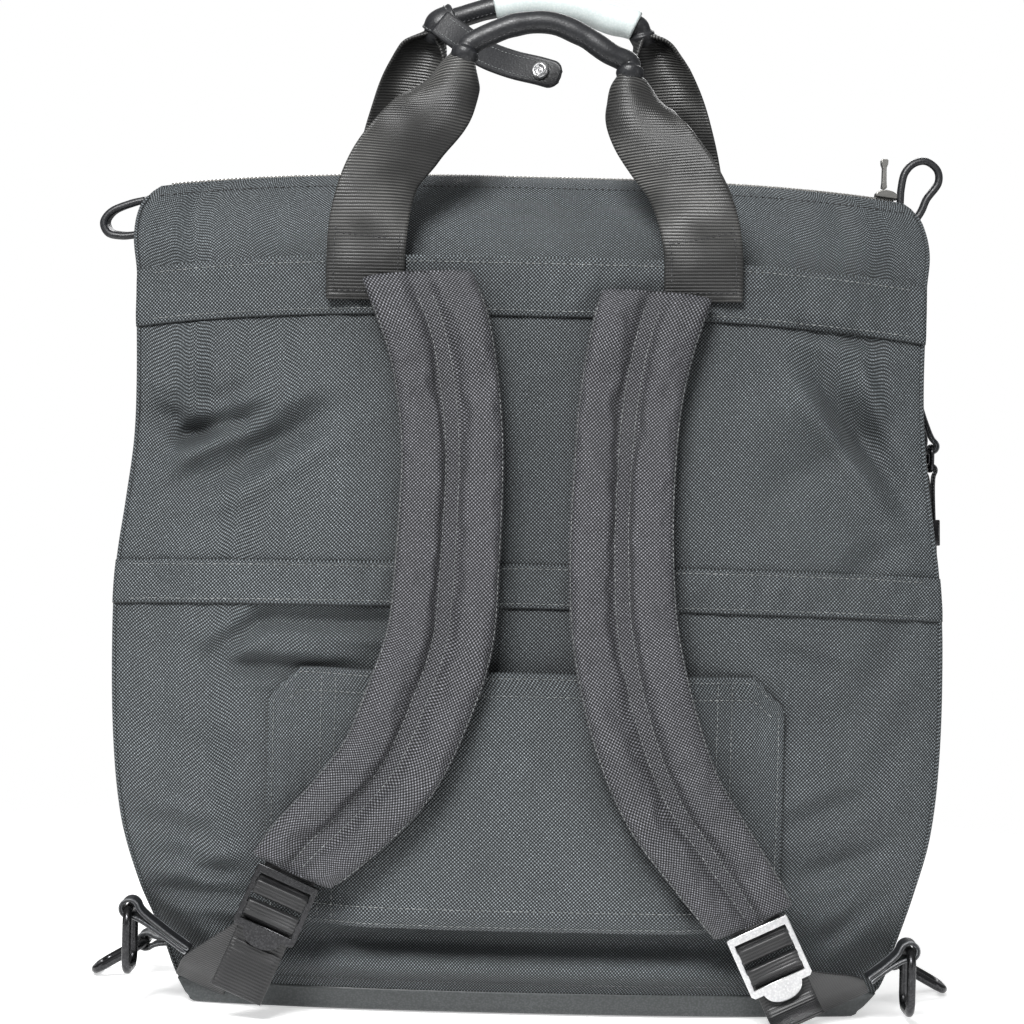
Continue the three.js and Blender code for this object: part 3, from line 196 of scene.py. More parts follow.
# %% [markdown]
# ## Mesh tools
# Cloth is a surface before it is anything else. A grid of points with rows and columns describes a panel, a
# band or a strap, and the number of a row and column gives every point its place on the cloth. That place
# is kept as a UV map in metres of real cloth, so a weave drawn on it runs with the threads and keeps its
# size on every piece.

# %% Make a mesh from points and faces
def link(mesh, name, body, *stands_for, slot=None):
    item = bpy.data.objects.new(name.replace(" ", "_"), mesh)
    bpy.context.scene.collection.objects.link(item)
    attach(item, body)
    if stands_for:
        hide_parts(*stands_for)
    return item


def make_mesh(name, points, faces, material, uv=None, smooth=True):
    mesh = bpy.data.meshes.new(name)
    mesh.from_pydata((np.asarray(points, float) * MM).tolist(), [], [list(map(int, f)) for f in faces])
    if uv is not None:
        layer = mesh.uv_layers.new(name="cloth")
        corners = np.zeros(len(mesh.loops), int)
        mesh.loops.foreach_get("vertex_index", corners)
        layer.data.foreach_set("uv", (np.asarray(uv, float)[corners] * MM).ravel())
    mesh.polygons.foreach_set("use_smooth", [smooth] * len(mesh.polygons))
    mesh.materials.append(material)
    mesh.update()
    return mesh


def outwards(mesh, merge=False):
    form = bmesh.new()
    form.from_mesh(mesh)
    if merge:
        bmesh.ops.remove_doubles(form, verts=form.verts, dist=1e-6)
    bmesh.ops.recalc_face_normals(form, faces=form.faces)
    form.to_mesh(mesh)
    form.free()
    return mesh

# %% Grids of points
def grid_faces(rows, columns, around=False, start=0):
    i, j = np.meshgrid(np.arange(rows - 1), np.arange(columns if around else columns - 1), indexing="ij")
    corners = ((i, j), (i, j + 1), (i + 1, j + 1), (i + 1, j))
    return np.stack([(start + a * columns + b % columns).ravel() for a, b in corners], axis=1)


def capped_faces(rows, columns):
    # The walls of a closed tube, and a fan at each end to a centre point. The two centres come last.
    faces = [tuple(f) for f in grid_faces(rows, columns, around=True)]
    first, last = rows * columns, rows * columns + 1
    for j in range(columns):
        n = (j + 1) % columns
        faces += [(first, n, j), (last, (rows - 1) * columns + j, (rows - 1) * columns + n)]
    return faces


def normals_of(grid):
    along = np.gradient(grid, axis=0)
    over = np.gradient(grid, axis=1)
    normal = np.cross(along, over)
    return normal / np.maximum(np.linalg.norm(normal, axis=2, keepdims=True), 1e-9)


def run_lengths(grid, axis):
    steps = np.linalg.norm(np.diff(grid, axis=axis), axis=2)
    total = np.cumsum(steps, axis=axis)
    zero = np.zeros_like(np.take(total, [0], axis=axis))
    return np.concatenate([zero, total], axis=axis)


def cloth_uv(grid):
    return np.stack([run_lengths(grid, 1), run_lengths(grid, 0)], axis=2)


ROUND_EDGE = 0.35


def shell(name, grid, thickness, material):
    # A sheet with two faces and softly rounded edges: a face, an inset rim on each side and the other face.
    rows, columns = grid.shape[:2]
    uv = cloth_uv(grid)
    normal = normals_of(grid)
    half = thickness / 2
    faces, points, places = [], [], []
    for side, level in ((1, half), (-1, -half)):
        points.append((grid + normal * level).reshape(-1, 3))
        places.append(uv.reshape(-1, 2))
        block = grid_faces(rows, columns, start=(0 if side == 1 else rows * columns))
        faces.append(block if side == 1 else block[:, ::-1])
    edge = [(0, j) for j in range(columns)] + [(i, columns - 1) for i in range(1, rows)]
    edge += [(rows - 1, j) for j in range(columns - 2, -1, -1)] + [(i, 0) for i in range(rows - 2, 0, -1)]
    edge = np.array(edge)
    rim = grid[edge[:, 0], edge[:, 1]]
    inner_i = np.clip(edge[:, 0], 1, rows - 2)
    inner_j = np.clip(edge[:, 1], 1, columns - 2)
    away = rim - grid[inner_i, inner_j]
    away /= np.maximum(np.linalg.norm(away, axis=1, keepdims=True), 1e-9)
    middle = len(points[0]) * 2
    points.append(rim + away * half * ROUND_EDGE * 2)
    places.append(uv[edge[:, 0], edge[:, 1]])
    count = len(edge)
    top = edge[:, 0] * columns + edge[:, 1]
    for k in range(count):
        n = (k + 1) % count
        faces.append(np.array([[top[k], middle + k, middle + n, top[n]],
                               [middle + k, top[k] + rows * columns, top[n] + rows * columns, middle + n]]))
    mesh = make_mesh(name, np.concatenate(points), np.concatenate(faces), material, np.concatenate(places))
    return outwards(mesh)


def ribbon(node, grid, thickness, material, slot):
    # A sheet that takes the place of the solid with the same name.
    name = node.replace("_", " ")
    return link(shell(name, grid, thickness, material), name, "bag", node, slot=slot)


print("grid tools ready")

# %% [markdown]
# Straps and grips follow curves. A smooth curve through a few chosen points gives the middle line; a frame
# carried along it says which way the strap's width and its face point at each step.

# %% Curves through points
def curve_points(points, shares):
    points = np.asarray(points, float)
    last = len(points) - 1
    shares = np.atleast_1d(np.asarray(shares, float))
    out = []
    for share in shares:
        place = share * last
        i = min(int(math.floor(place)), last - 1)
        t = place - i
        p1, p2 = points[i], points[i + 1]
        p0 = points[i - 1] if i > 0 else 2 * points[0] - points[1]
        p3 = points[i + 2] if i + 2 <= last else 2 * points[last] - points[last - 1]
        d0, d1, d2 = (max(np.sum((b - a) ** 2) ** 0.25, 1e-4) for a, b in ((p0, p1), (p1, p2), (p2, p3)))
        m1 = ((p1 - p0) / d0 - (p2 - p0) / (d0 + d1) + (p2 - p1) / d1) * d1
        m2 = ((p2 - p1) / d1 - (p3 - p1) / (d1 + d2) + (p3 - p2) / d2) * d1
        square = -3 * p1 + 3 * p2 - 2 * m1 - m2
        cube = 2 * p1 - 2 * p2 + m1 + m2
        out.append(p1 + m1 * t + square * t * t + cube * t ** 3)
    return np.array(out)


def unit(v):
    v = np.asarray(v, float)
    return v / np.maximum(np.linalg.norm(v, axis=-1, keepdims=True), 1e-9)


def tangents(points):
    return unit(np.gradient(points, axis=0))


def line_run(line):
    return np.concatenate([[0], np.cumsum(np.linalg.norm(np.diff(line, axis=0), axis=1))])


def sample(line, at, run):
    # The points of a line at given places along it.
    return np.stack([np.interp(at, run, line[:, k]) for k in range(3)], axis=-1)


def turned(v, axis, angle):
    c, s = np.cos(angle)[:, None], np.sin(angle)[:, None]
    return v * c + np.cross(axis, v) * s + axis * np.sum(axis * v, axis=1, keepdims=True) * (1 - c)


def table_reader(rows):
    rows = np.array(rows, float)
    key, values = rows[:, 0], rows[:, 1:]
    last = len(key) - 1
    low, high = np.maximum(np.arange(last + 1) - 1, 0), np.minimum(np.arange(last + 1) + 1, last)
    slope = (values[high] - values[low]) / (key[high] - key[low])[:, None]

    def read(at):
        at = np.asarray(at, float)
        i = np.searchsorted(key[1:-1], at, side="left")
        span = (key[i + 1] - key[i])[..., None]
        t = np.clip((at[..., None] - key[i][..., None]) / span, 0, 1)
        rise = 3 * t * t - 2 * t ** 3
        start, end = values[i], values[i + 1]
        leave, arrive = slope[i] * span, slope[i + 1] * span
        return start + (end - start) * rise + leave * t * (1 - t) ** 2 - arrive * t * t * (1 - t)

    return read


def smoothstep(x, low, high):
    t = np.clip((np.asarray(x, float) - low) / (high - low), 0, 1)
    return t * t * (3 - 2 * t)


print("curve tools ready")

# %% [markdown]
# Stitches are small and there are many of them, so one row of them is one mesh: each stitch is a short
# thread, thick in the middle and pinched where it enters the cloth, repeated along a line at a constant
# pitch.

# %% Rows of stitches
# along, high, wide
STITCH = [(-0.5, -0.9, 0.35), (-0.3, 0.1, 0.9), (0, 0.42, 1), (0.3, 0.1, 0.9), (0.5, -0.9, 0.35)]
STITCH_SHARE = 0.72


def stitch_rows(name, rows, pitch, thickness, material):
    # rows are pairs of arrays: points along the line and the cloth's outward direction there.
    points, faces, count = [], [], 0
    for line, facing in rows:
        line, facing = np.asarray(line, float), np.asarray(facing, float)
        run = line_run(line)
        number = max(int(run[-1] / pitch), 1)
        centres = (np.arange(number) + 0.5) * run[-1] / number
        middle = sample(line, centres, run)
        up = unit(sample(facing, centres, run))
        way = unit(sample(line, centres + 0.3, run) - sample(line, centres - 0.3, run))
        side = unit(np.cross(way, up))
        for m, w, u, s in zip(middle, way, up, side):
            for along, high, wide in STITCH:
                at = m + w * along * pitch * STITCH_SHARE + u * high * thickness
                r = thickness / 2 * wide
                points += [at + s * r, at + u * r, at - s * r, at - u * r]
            base = count * 20
            for ring in range(4):
                for k in range(4):
                    a, b = base + ring * 4 + k, base + ring * 4 + (k + 1) % 4
                    faces.append((a, b, b + 4, a + 4))
            count += 1
    link(outwards(make_mesh(name, points, faces, material)), name, "bag")
    print(name, count, "stitches")

# %% [markdown]
# ## Finishes
# Cloth, webbing and leather look different close up because their surfaces repeat in different ways, and
# metal because it mirrors its surroundings. Each effect is a small node group that gives out a height or a
# mask. The materials read these to vary colour, roughness and bump together, so a raised thread is also the
# lighter one.

# %% Node helpers
def new_group(name, outputs):
    tree = bpy.data.node_groups.new(name, "ShaderNodeTree")
    tree.interface.new_socket(name="Place", in_out="INPUT", socket_type="NodeSocketVector")
    for label in outputs:
        tree.interface.new_socket(name=label, in_out="OUTPUT", socket_type="NodeSocketFloat")
    place = tree.nodes.new("NodeGroupInput").outputs["Place"]
    return tree, place, tree.nodes.new("NodeGroupOutput").inputs


def feed(tree, node, values):
    for key, value in values.items():
        if isinstance(value, bpy.types.NodeSocket):
            tree.links.new(value, node.inputs[key])
        else:
            node.inputs[key].default_value = value
    return node


def calc(tree, operation, *values):
    node = tree.nodes.new("ShaderNodeMath")
    node.operation = operation
    feed(tree, node, dict(enumerate(values)))
    return node.outputs[0]


def remap(tree, value, low, high, to_low, to_high):
    node = tree.nodes.new("ShaderNodeMapRange")
    feed(tree, node, {"Value": value, "From Min": low, "From Max": high, "To Min": to_low, "To Max": to_high})
    return node.outputs[0]


def noise(tree, place, scale, detail=2.0, rough=0.5):
    node = tree.nodes.new("ShaderNodeTexNoise")
    feed(tree, node, {"Vector": place, "Scale": scale, "Detail": detail, "Roughness": rough})
    return node.outputs[0]


def wave(tree, value, period):
    return calc(tree, "SINE", calc(tree, "MULTIPLY", value, 2 * math.pi / period))


print("node helpers ready")

# %% Weave and ribs
WEAVE_PERIOD, RIB_PERIOD, STRAND_PERIOD = 0.00177, 0.0016, 0.0009


def half_wave(tree, value, period):
    return calc(tree, "ADD", calc(tree, "MULTIPLY", wave(tree, value, period), 0.5), 0.5)


weave, place, out = new_group("woven dots", ["Height", "Painted glint"])
axes = weave.nodes.new("ShaderNodeSeparateXYZ")
weave.links.new(place, axes.inputs[0])
over = wave(weave, axes.outputs[0], WEAVE_PERIOD)
under = wave(weave, axes.outputs[1], WEAVE_PERIOD)
height = calc(weave, "ADD", calc(weave, "MULTIPLY", calc(weave, "MULTIPLY", over, under), 0.5), 0.5)
weave.links.new(height, out["Height"])
# Painted highlight: at random spots the highest threads get a glint that lightens their colour.
painted_glint_spots = remap(weave, noise(weave, place, 900.0, 1.0), 0.45, 0.7, 0.0, 1.0)
weave.links.new(calc(weave, "MULTIPLY", remap(weave, height, 0.6, 1.0, 0.0, 1.0), painted_glint_spots), out["Painted glint"])

ribs, place, out = new_group("webbing ribs", ["Height"])
axes = ribs.nodes.new("ShaderNodeSeparateXYZ")
ribs.links.new(place, axes.inputs[0])
rib = half_wave(ribs, axes.outputs[1], RIB_PERIOD)
strand = half_wave(ribs, axes.outputs[0], STRAND_PERIOD)
# Painted sheen: in broad patches the ribs keep their light colour, and elsewhere they are turned down to
# dark, matte-looking zones.
painted_sheen_patches = remap(ribs, noise(ribs, place, 22.0, 1.0), 0.42, 0.6, 0.35, 1.0)
rib = calc(ribs, "MULTIPLY", rib, painted_sheen_patches)
mixed = calc(ribs, "ADD", calc(ribs, "MULTIPLY", rib, 0.85), calc(ribs, "MULTIPLY", strand, 0.1))
ribs.links.new(mixed, out["Height"])
print("weave and ribs ready")

# %% Grain and wear
grain, place, out = new_group("leather grain", ["Height", "Wrinkle"])
cells = grain.nodes.new("ShaderNodeTexVoronoi")
feed(grain, cells, {"Vector": place, "Scale": 900.0})
grain.links.new(remap(grain, cells.outputs["Distance"], 0.0, 0.7, 1.0, 0.0), out["Height"])
grain.links.new(noise(grain, place, 160.0, 4.0, 0.6), out["Wrinkle"])

uneven, place, out = new_group("uneven shade", ["Shade", "Wear"])
broad = noise(uneven, place, 14.0, 3.0)
close = noise(uneven, place, 75.0, 4.0, 0.6)
total = calc(uneven, "ADD", calc(uneven, "MULTIPLY", broad, 0.6), calc(uneven, "MULTIPLY", close, 0.4))
uneven.links.new(remap(uneven, total, 0.3, 0.7, 0.0, 1.0), out["Shade"])
specks = noise(uneven, place, 240.0, 5.0, 0.7)
uneven.links.new(remap(uneven, specks, 0.56, 0.68, 0.0, 1.0), out["Wear"])
print("effect groups:", [g.name for g in bpy.data.node_groups])

# %% [markdown]
# Every finish is built by the same few steps: two colours mixed by a height, a slow change of shade over
# the piece, a roughness that falls where threads or edges are polished, and a bump from the same height.
# Cloth also gets painted shade: its colour is darkened where other surfaces stand close to it, as in
# folds, under straps and beside the pads, by an ambient occlusion node.

# %% Material builder
# Strength of the highlights painted into the weave's colour.
PAINTED_GLINT = 0.9
# How far the ambient occlusion looks for nearby surfaces when it paints shade into the colour.
PAINTED_SHADE_REACH = 32


def finish(name, group, dark, light, rough, bump, place="UV", curve=1.0, shade=0.25, wear=0.0,
           painted_shade=0.0, rest=None):
    material = bpy.data.materials.new(name)
    material.use_nodes = True
    tree = material.node_tree
    shader = tree.nodes["Principled BSDF"]
    coordinates = tree.nodes.new("ShaderNodeTexCoord")
    effect = tree.nodes.new("ShaderNodeGroup")
    effect.node_tree = group
    tree.links.new(coordinates.outputs[place], effect.inputs["Place"])
    spots = tree.nodes.new("ShaderNodeGroup")
    spots.node_tree = uneven
    tree.links.new(coordinates.outputs["Object"], spots.inputs["Place"])
    height = effect.outputs["Height"]
    mix = tree.nodes.new("ShaderNodeMix")
    mix.data_type = "RGBA"
    mix.inputs["A"].default_value = (*dark, 1)
    mix.inputs["B"].default_value = (*light, 1)
    amount = calc(tree, "POWER", height, curve)
    # Painted highlight: the glints lighten the base colour.
    if "Painted glint" in effect.outputs:
        amount = calc(tree, "ADD", amount, calc(tree, "MULTIPLY", effect.outputs["Painted glint"], PAINTED_GLINT))
    tree.links.new(amount, mix.inputs["Factor"])
    mix.clamp_factor = False
    tone = tree.nodes.new("ShaderNodeHueSaturation")
    tree.links.new(mix.outputs["Result"], tone.inputs["Color"])
    level = remap(tree, spots.outputs["Shade"], 0.0, 1.0, 1 - shade, 1 + shade)
    level = calc(tree, "ADD", level, calc(tree, "MULTIPLY", spots.outputs["Wear"], wear))
    # Painted shade: an ambient occlusion node darkens the base colour where other surfaces stand close, in
    # folds and around pads and straps.
    if painted_shade:
        near = tree.nodes.new("ShaderNodeAmbientOcclusion")
        near.samples = 4
        near.inputs["Distance"].default_value = PAINTED_SHADE_REACH * MM
        painted_shade_amount = remap(tree, near.outputs["AO"], 0.4, 0.92, 1 - painted_shade, 1.0)
        level = calc(tree, "MULTIPLY", level, painted_shade_amount)
    tree.links.new(level, tone.inputs["Value"])
    tree.links.new(tone.outputs[0], shader.inputs["Base Color"])
    matte = remap(tree, height, 0.0, 1.0, rough[0], rough[1])
    matte = calc(tree, "ADD", matte, remap(tree, spots.outputs["Shade"], 0.0, 1.0, -0.05, 0.05))
    tree.links.new(matte, shader.inputs["Roughness"])
    relief = tree.nodes.new("ShaderNodeBump")
    relief.inputs["Strength"].default_value = 0.9
    relief.inputs["Distance"].default_value = bump * MM
    raised = height
    if "Wrinkle" in effect.outputs:
        raised = calc(tree, "ADD", calc(tree, "MULTIPLY", height, 0.35), effect.outputs["Wrinkle"])
    tree.links.new(raised, relief.inputs["Height"])
    tree.links.new(relief.outputs[0], shader.inputs["Normal"])
    for key, value in (rest or {}).items():
        shader.inputs[key].default_value = value
    print("finish:", name)
    return material

# %% [markdown]
# The body cloth is a two-tone weave: dark yarn with paler dots, about 1.3 mm from dot to dot, and painted
# glints on the highest dots stand in for their shine. The pads use the same weave in a slightly warmer grey.
# The handles are a ribbed webbing with a silky sheen, partly from the shader and partly painted as bright
# and dark patches of the ribs.

# %% Soft finishes
velvet = {"Sheen Weight": 0.06, "Sheen Roughness": 0.4, "Specular IOR Level": 0.35}
# Body, pad and handle cloth get painted shade in their folds, darkened by the ambient occlusion in finish.
body_cloth = finish("body weave", weave, (0.0005, 0.0008, 0.001), (0.214, 0.241, 0.257), (0.75, 0.45), 0.4,
                    curve=2.6, shade=0.16, painted_shade=0.62, rest=velvet)
pad_cloth = finish("pad weave", weave, (0.0005, 0.0005, 0.0008), (0.214, 0.216, 0.238), (0.75, 0.45), 0.4,
                   curve=2.6, shade=0.14, painted_shade=0.6, rest=velvet)
silky = {"Sheen Weight": 0.05, "Sheen Roughness": 0.3, "Specular IOR Level": 0.6, "Anisotropic": 0.4}
# Handle webbing: its pale rib colour, the patch mask of the ribs and its strong uneven shade are painted
# silvery sheen, on top of the shader's sheen and anisotropy.
webbing = finish("ribbed webbing", ribs, (0.002, 0.002, 0.0018), (0.18, 0.178, 0.17), (0.5, 0.3), 0.4,
                 curve=2.0, shade=0.45, painted_shade=0.5, rest=silky)
strap_web = finish("black webbing", ribs, (0.002, 0.002, 0.0025), (0.045, 0.045, 0.047), (0.5, 0.3), 0.35,
                   curve=1.2, shade=0.25, rest=silky)
base_cloth = finish("coated base", grain, (0.03, 0.034, 0.035), (0.055, 0.06, 0.062), (0.55, 0.42), 0.12,
                    place="Object", shade=0.2)
tape_cloth = finish("zip tape", ribs, (0.008, 0.009, 0.01), (0.04, 0.043, 0.045), (0.8, 0.65), 0.2, shade=0.2)
thread = finish("grey thread", ribs, (0.13, 0.14, 0.14), (0.3, 0.31, 0.31), (0.6, 0.5), 0.05,
                place="Object", shade=0.3)
dark_thread = finish("dark thread", ribs, (0.03, 0.03, 0.032), (0.09, 0.09, 0.095), (0.6, 0.5), 0.05,
                     place="Object", shade=0.3)

# %% [markdown]
# Leather gets a fine cell grain with longer wrinkles. Its cut edges are polished and paler than its face.
# The metals are nearly smooth: only their roughness varies, and thin worn spots show the brighter metal
# under a dark plating.

# %% Leather and metal finishes
leather = finish("black leather", grain, (0.006, 0.0065, 0.008), (0.022, 0.023, 0.026), (0.5, 0.33), 0.16,
                 place="Object", shade=0.3, wear=0.25, rest={"Coat Weight": 0.12, "Coat Roughness": 0.35})
edge_paint = finish("polished edge", grain, (0.2, 0.21, 0.22), (0.42, 0.43, 0.44), (0.34, 0.22), 0.05,
                    place="Object", shade=0.3, rest={"Coat Weight": 0.4, "Coat Roughness": 0.2})
pale_leather = finish("pale leather", grain, (0.62, 0.69, 0.68), (0.74, 0.79, 0.78), (0.42, 0.3), 0.08,
                      place="Object", shade=0.07, rest={"Coat Weight": 0.3, "Coat Roughness": 0.25})
gunmetal = finish("gunmetal", grain, (0.045, 0.045, 0.047), (0.07, 0.07, 0.073), (0.3, 0.22), 0.01,
                  place="Object", shade=0.15, wear=0.3, rest={"Metallic": 1.0})
steel = finish("bright steel", grain, (0.62, 0.62, 0.63), (0.78, 0.78, 0.78), (0.36, 0.26), 0.012,
               place="Object", shade=0.12, wear=0.1, rest={"Metallic": 1.0})
zip_metal = finish("zip metal", grain, (0.26, 0.255, 0.24), (0.42, 0.41, 0.39), (0.42, 0.3), 0.01,
                   place="Object", shade=0.25, wear=0.3, rest={"Metallic": 1.0})

# %% [markdown]
# ## The body
# The body is a soft box sewn from a worn side, a front, two gussets and a roof in two halves. Its outside
# is described by a table of sections from the floor to the zip. Rows hold shares of the height, half the
# width and half the depth. On top of it lie broad folds, and on those sharper creases that the cloth takes
# when the bag sags.

# %% Body sections and folds
WIDTH, HEIGHT, DEPTH = 418, 413, 144
ROOF = HEIGHT - 63
CLOTH = 2
CLEAR = 0.3
RIDGE = 0.1124
RIDGE_SHARES = (0.905, 0.88)
ROOF_DROOP = 0.02
# up, left, right, back, front, corner, droop
SECTIONS = [
    (0, 0.77, 0.785, 0.66, 0.66, 0.48, 0), (0.036, 0.812, 0.85, 0.78, 0.78, 0.44, 0),
    (0.085, 0.85, 0.885, 0.87, 0.88, 0.44, 0), (0.145, 0.9, 0.92, 0.94, 0.95, 0.5, 0.001),
    (0.22, 0.942, 0.955, 0.98, 0.99, 0.56, 0.002), (0.32, 0.965, 0.972, 1, 1, 0.58, 0.004),
    (0.45, 0.973, 0.973, 0.995, 0.99, 0.58, 0.005), (0.53, 0.968, 0.963, 0.985, 0.97, 0.57, 0.007),
    (0.605, 0.95, 0.944, 0.96, 0.95, 0.56, 0.009), (0.68, 0.934, 0.926, 0.925, 0.92, 0.55, 0.012),
    (0.75, 0.931, 0.917, 0.89, 0.89, 0.55, 0.016), (0.847, 0.935, 0.917, 0.85, 0.85, 0.55, ROOF_DROOP),
    (0.89, 0.94, 0.922, 0.75, 0.75, 0.48, ROOF_DROOP), (0.935, 0.955, 0.933, 0.56, 0.56, 0.36, ROOF_DROOP),
    (0.972, 0.95, 0.923, 0.34, 0.34, 0.21, ROOF_DROOP), (0.992, 0.925, 0.9, 0.19, 0.19, 0.13, ROOF_DROOP),
    (1, *RIDGE_SHARES, RIDGE, RIDGE, RIDGE * 0.9, ROOF_DROOP),
]
section = table_reader(SECTIONS)
# across, up, long, wide, turn, sink
FOLDS = [
    (-0.84, 0.7, 0.13, 0.022, -14, 0.03), (-0.78, 0.755, 0.11, 0.026, -8, -0.016),
    (0.82, 0.69, 0.12, 0.024, 28, 0.032), (0.72, 0.74, 0.1, 0.028, 20, -0.018),
    (0.9, 0.6, 0.09, 0.024, 48, 0.022), (-0.66, 0.41, 0.14, 0.022, -10, 0.018),
    (-0.8, 0.155, 0.1, 0.024, -18, 0.026), (0.8, 0.2, 0.1, 0.026, 16, 0.018),
    (0.02, 0.6, 0.2, 0.065, 90, 0.05), (0.1, 0.075, 0.42, 0.018, -1, 0.022),
]
# Creases run from one point to another, in millimetres across and up: x, z, x, z, half width, sink.
CREASES = [
    (-190, 292, -162, 277, 6.5, 8.5), (-171, 277, -136, 290, 4.6, 7.5), (-190, 251, -132, 300, 5, -3.6),
    (-160, 256, -104, 289, 8, 8.0), (-184, 227, -150, 241, 8, 2.8), (-187, 300, -172, 297, 2.2, 1.6),
    (-184, 318, -146, 322, 16, -3.5), (143, 311, 187, 254, 8, 10.0), (132, 301, 176, 247, 6, -3.2),
    (160, 319, 171, 293, 3.5, -2.6), (128, 338, 162, 331, 4, 3.0), (150, 330, 178, 321, 3.5, -2.0),
    (-126, 191, -66, 190, 4.5, 4.6), (-152, 174, -127, 190, 4.5, 4.4), (-145, 168, -93, 167, 4.5, 4.4),
    (-158, 160, -120, 154, 10, 2.4), (-192, 92, -156, 84, 6, 5.0), (-180, 78, -138, 64, 5, 3.0),
    (-172, 66, -140, 76, 4, -2.2), (-182, 56, -136, 54, 4.5, 5.0), (-178, 46, -142, 30, 6, -3.2),
    (165, 110, 128, 96, 6, 3.4), (176, 84, 140, 72, 5, 3.6), (178, 62, 150, 40, 5, 3.0),
    (-118, 25, 108, 19, 7, -2.2), (-85, 38.5, 110, 39.5, 7.5, 9.0),
    (188, 200, 168, 160, 9, 2.6), (190, 150, 172, 120, 8, 2.4),
    (-192, 226, -176, 200, 9, 2.2), (120, 180, 158, 168, 5, 2.2), (190, 236, 160, 222, 6, 2.2),
    (-190, 140, -150, 122, 10, 2.2), (100, 150, 160, 142, 9, 1.8), (-60, 250, -30, 236, 12, 1.8),
]


def ripple_waves(count, shortest, longest):
    length = rng.uniform(shortest, longest, count)
    angle = rng.uniform(0, math.pi, count)
    phase = rng.uniform(0, 2 * math.pi, count)
    return np.stack([length, angle, phase], axis=1)


SLOW = ripple_waves(16, 60, 150)
QUICK = ripple_waves(30, 16, 42)


def ripples(a, b, waves):
    total = np.zeros(np.broadcast(a, b).shape)
    for length, angle, phase in waves:
        total = total + np.sin((a * math.cos(angle) + b * math.sin(angle)) * 2 * math.pi / length + phase)
    return total / math.sqrt(len(waves))


print(len(FOLDS), "folds,", len(CREASES), "creases")

# %% Body surface
def fold_depth(x, z):
    total = 0
    for across, up, long, wide, turn, sink in FOLDS:
        angle = math.radians(turn)
        dx, dz = x - across * WIDTH / 2, z - up * HEIGHT
        along = (dx * math.cos(angle) + dz * math.sin(angle)) / (long * HEIGHT)
        over = (dz * math.cos(angle) - dx * math.sin(angle)) / (wide * HEIGHT)
        total = total + sink * DEPTH * np.exp(-along * along - over * over)
    return total


def crease_depth(x, z):
    total = 0
    for x1, z1, x2, z2, wide, sink in CREASES:
        length = math.hypot(x2 - x1, z2 - z1)
        ax, az = (x2 - x1) / length, (z2 - z1) / length
        along = ((x - x1) * ax + (z - z1) * az) / length
        over = ((z - z1) * ax - (x - x1) * az) / wide
        fade = np.exp(-np.abs((along - 0.5) / 0.62) ** 4)
        total = total + sink * fade * (np.exp(-over * over) - 0.35 * np.exp(-(np.abs(over) - 1.8) ** 2 * 1.6))
    return total


def body_point(side, across, up, detail=1.0):
    across, up = np.broadcast_arrays(np.asarray(across, float), np.asarray(up, float))
    left, right, back, front, corner, droop = np.moveaxis(section(up), -1, 0)
    half = WIDTH / 2 * np.where(across < 0, left, right)
    reach = back if side < 0 else front
    edge = np.abs(across)
    x = half * across
    z = HEIGHT * (up - droop * edge ** 3)
    depth = DEPTH / 2 * (corner + (reach - corner) * (1 - edge ** 2.6))
    free = 1 - edge ** 8
    wall = 1 - smoothstep(up, 0.825, 0.848)
    if side < 0:
        depth = depth - fold_depth(across * WIDTH / 2, up * HEIGHT) * free * wall
        depth = depth - detail * crease_depth(x, z) * free * wall * smoothstep(up, 0.03, 0.05)
    swell = ripples(x, z + side * 500, SLOW) * 0.75 + ripples(x, z + side * 500, QUICK) * 0.2
    top = smoothstep(up, 0.86, 0.9) * (1 - smoothstep(up, 0.965, 0.99))
    calm = (1 - wall) * (1 - top) + smoothstep(np.abs(up - 0.03), 0.03, 0) * 0.9
    depth = depth + detail * (swell * (1 + 0.6 * top) - 0.5) * free * np.clip(1 - calm, 0, 1)
    return np.stack([x, side * depth, z], axis=-1)


def body_depth(side, x, z, detail=1.0):
    x, z = np.broadcast_arrays(np.asarray(x, float), np.asarray(z, float))
    left, right = np.moveaxis(section(z / HEIGHT), -1, 0)[:2]
    half = WIDTH / 2 * np.where(x < 0, left, right)
    return body_point(side, np.clip(x / half, -1, 1), z / HEIGHT, detail)[..., 1] * side


def gusset_point(hand, share, up, bulge=0.0):
    share, up = np.broadcast_arrays(np.asarray(share, float), np.asarray(up, float))
    left, right, _, _, corner, droop = np.moveaxis(section(up), -1, 0)
    half = WIDTH / 2 * (left if hand < 0 else right)
    gap = np.where(up * HEIGHT > ROOF, 0.75, CLEAR)
    reach = DEPTH / 2 * corner - CLOTH - gap
    out = bulge * (1 - share ** 2) * (ripples(share * 30, up * HEIGHT + hand * 300, QUICK) * 0.5 - 0.3)
    return np.stack([hand * (half + out), share * reach, HEIGHT * (up - droop)], axis=-1)


print("widest part of the body:", round(float(body_point(-1, -1, 0.45)[0]), 1), "mm from the middle")

# %% [markdown]
# The whole outside is one closed ring of points at each height, lofted upwards. One mesh in place of seven
# flat patterns lets a fold run on over a seam, as it does in real cloth. The seams themselves are laid on
# afterwards.

# %% Body shell
def ring_at(up, backs=190, sides=14, fronts=84, inset=0.0, detail=1.0):
    painted_sheen_patches = body_point(-1, np.linspace(-1, 1, backs), up, detail)
    right = gusset_point(1, np.linspace(-1, 1, sides + 2)[1:-1], up, detail)
    far = body_point(1, np.linspace(1, -1, fronts), up, detail)
    left = gusset_point(-1, np.linspace(1, -1, sides + 2)[1:-1], up, detail)
    ring = np.concatenate([painted_sheen_patches, right, far, left])
    if inset:
        flat = ring * (1, 1, 0)
        pull = unit(-flat)
        pull = np.sign(pull) * np.minimum(np.abs(pull) + 0.4, 1)
        ring = ring + pull * inset
    return ring


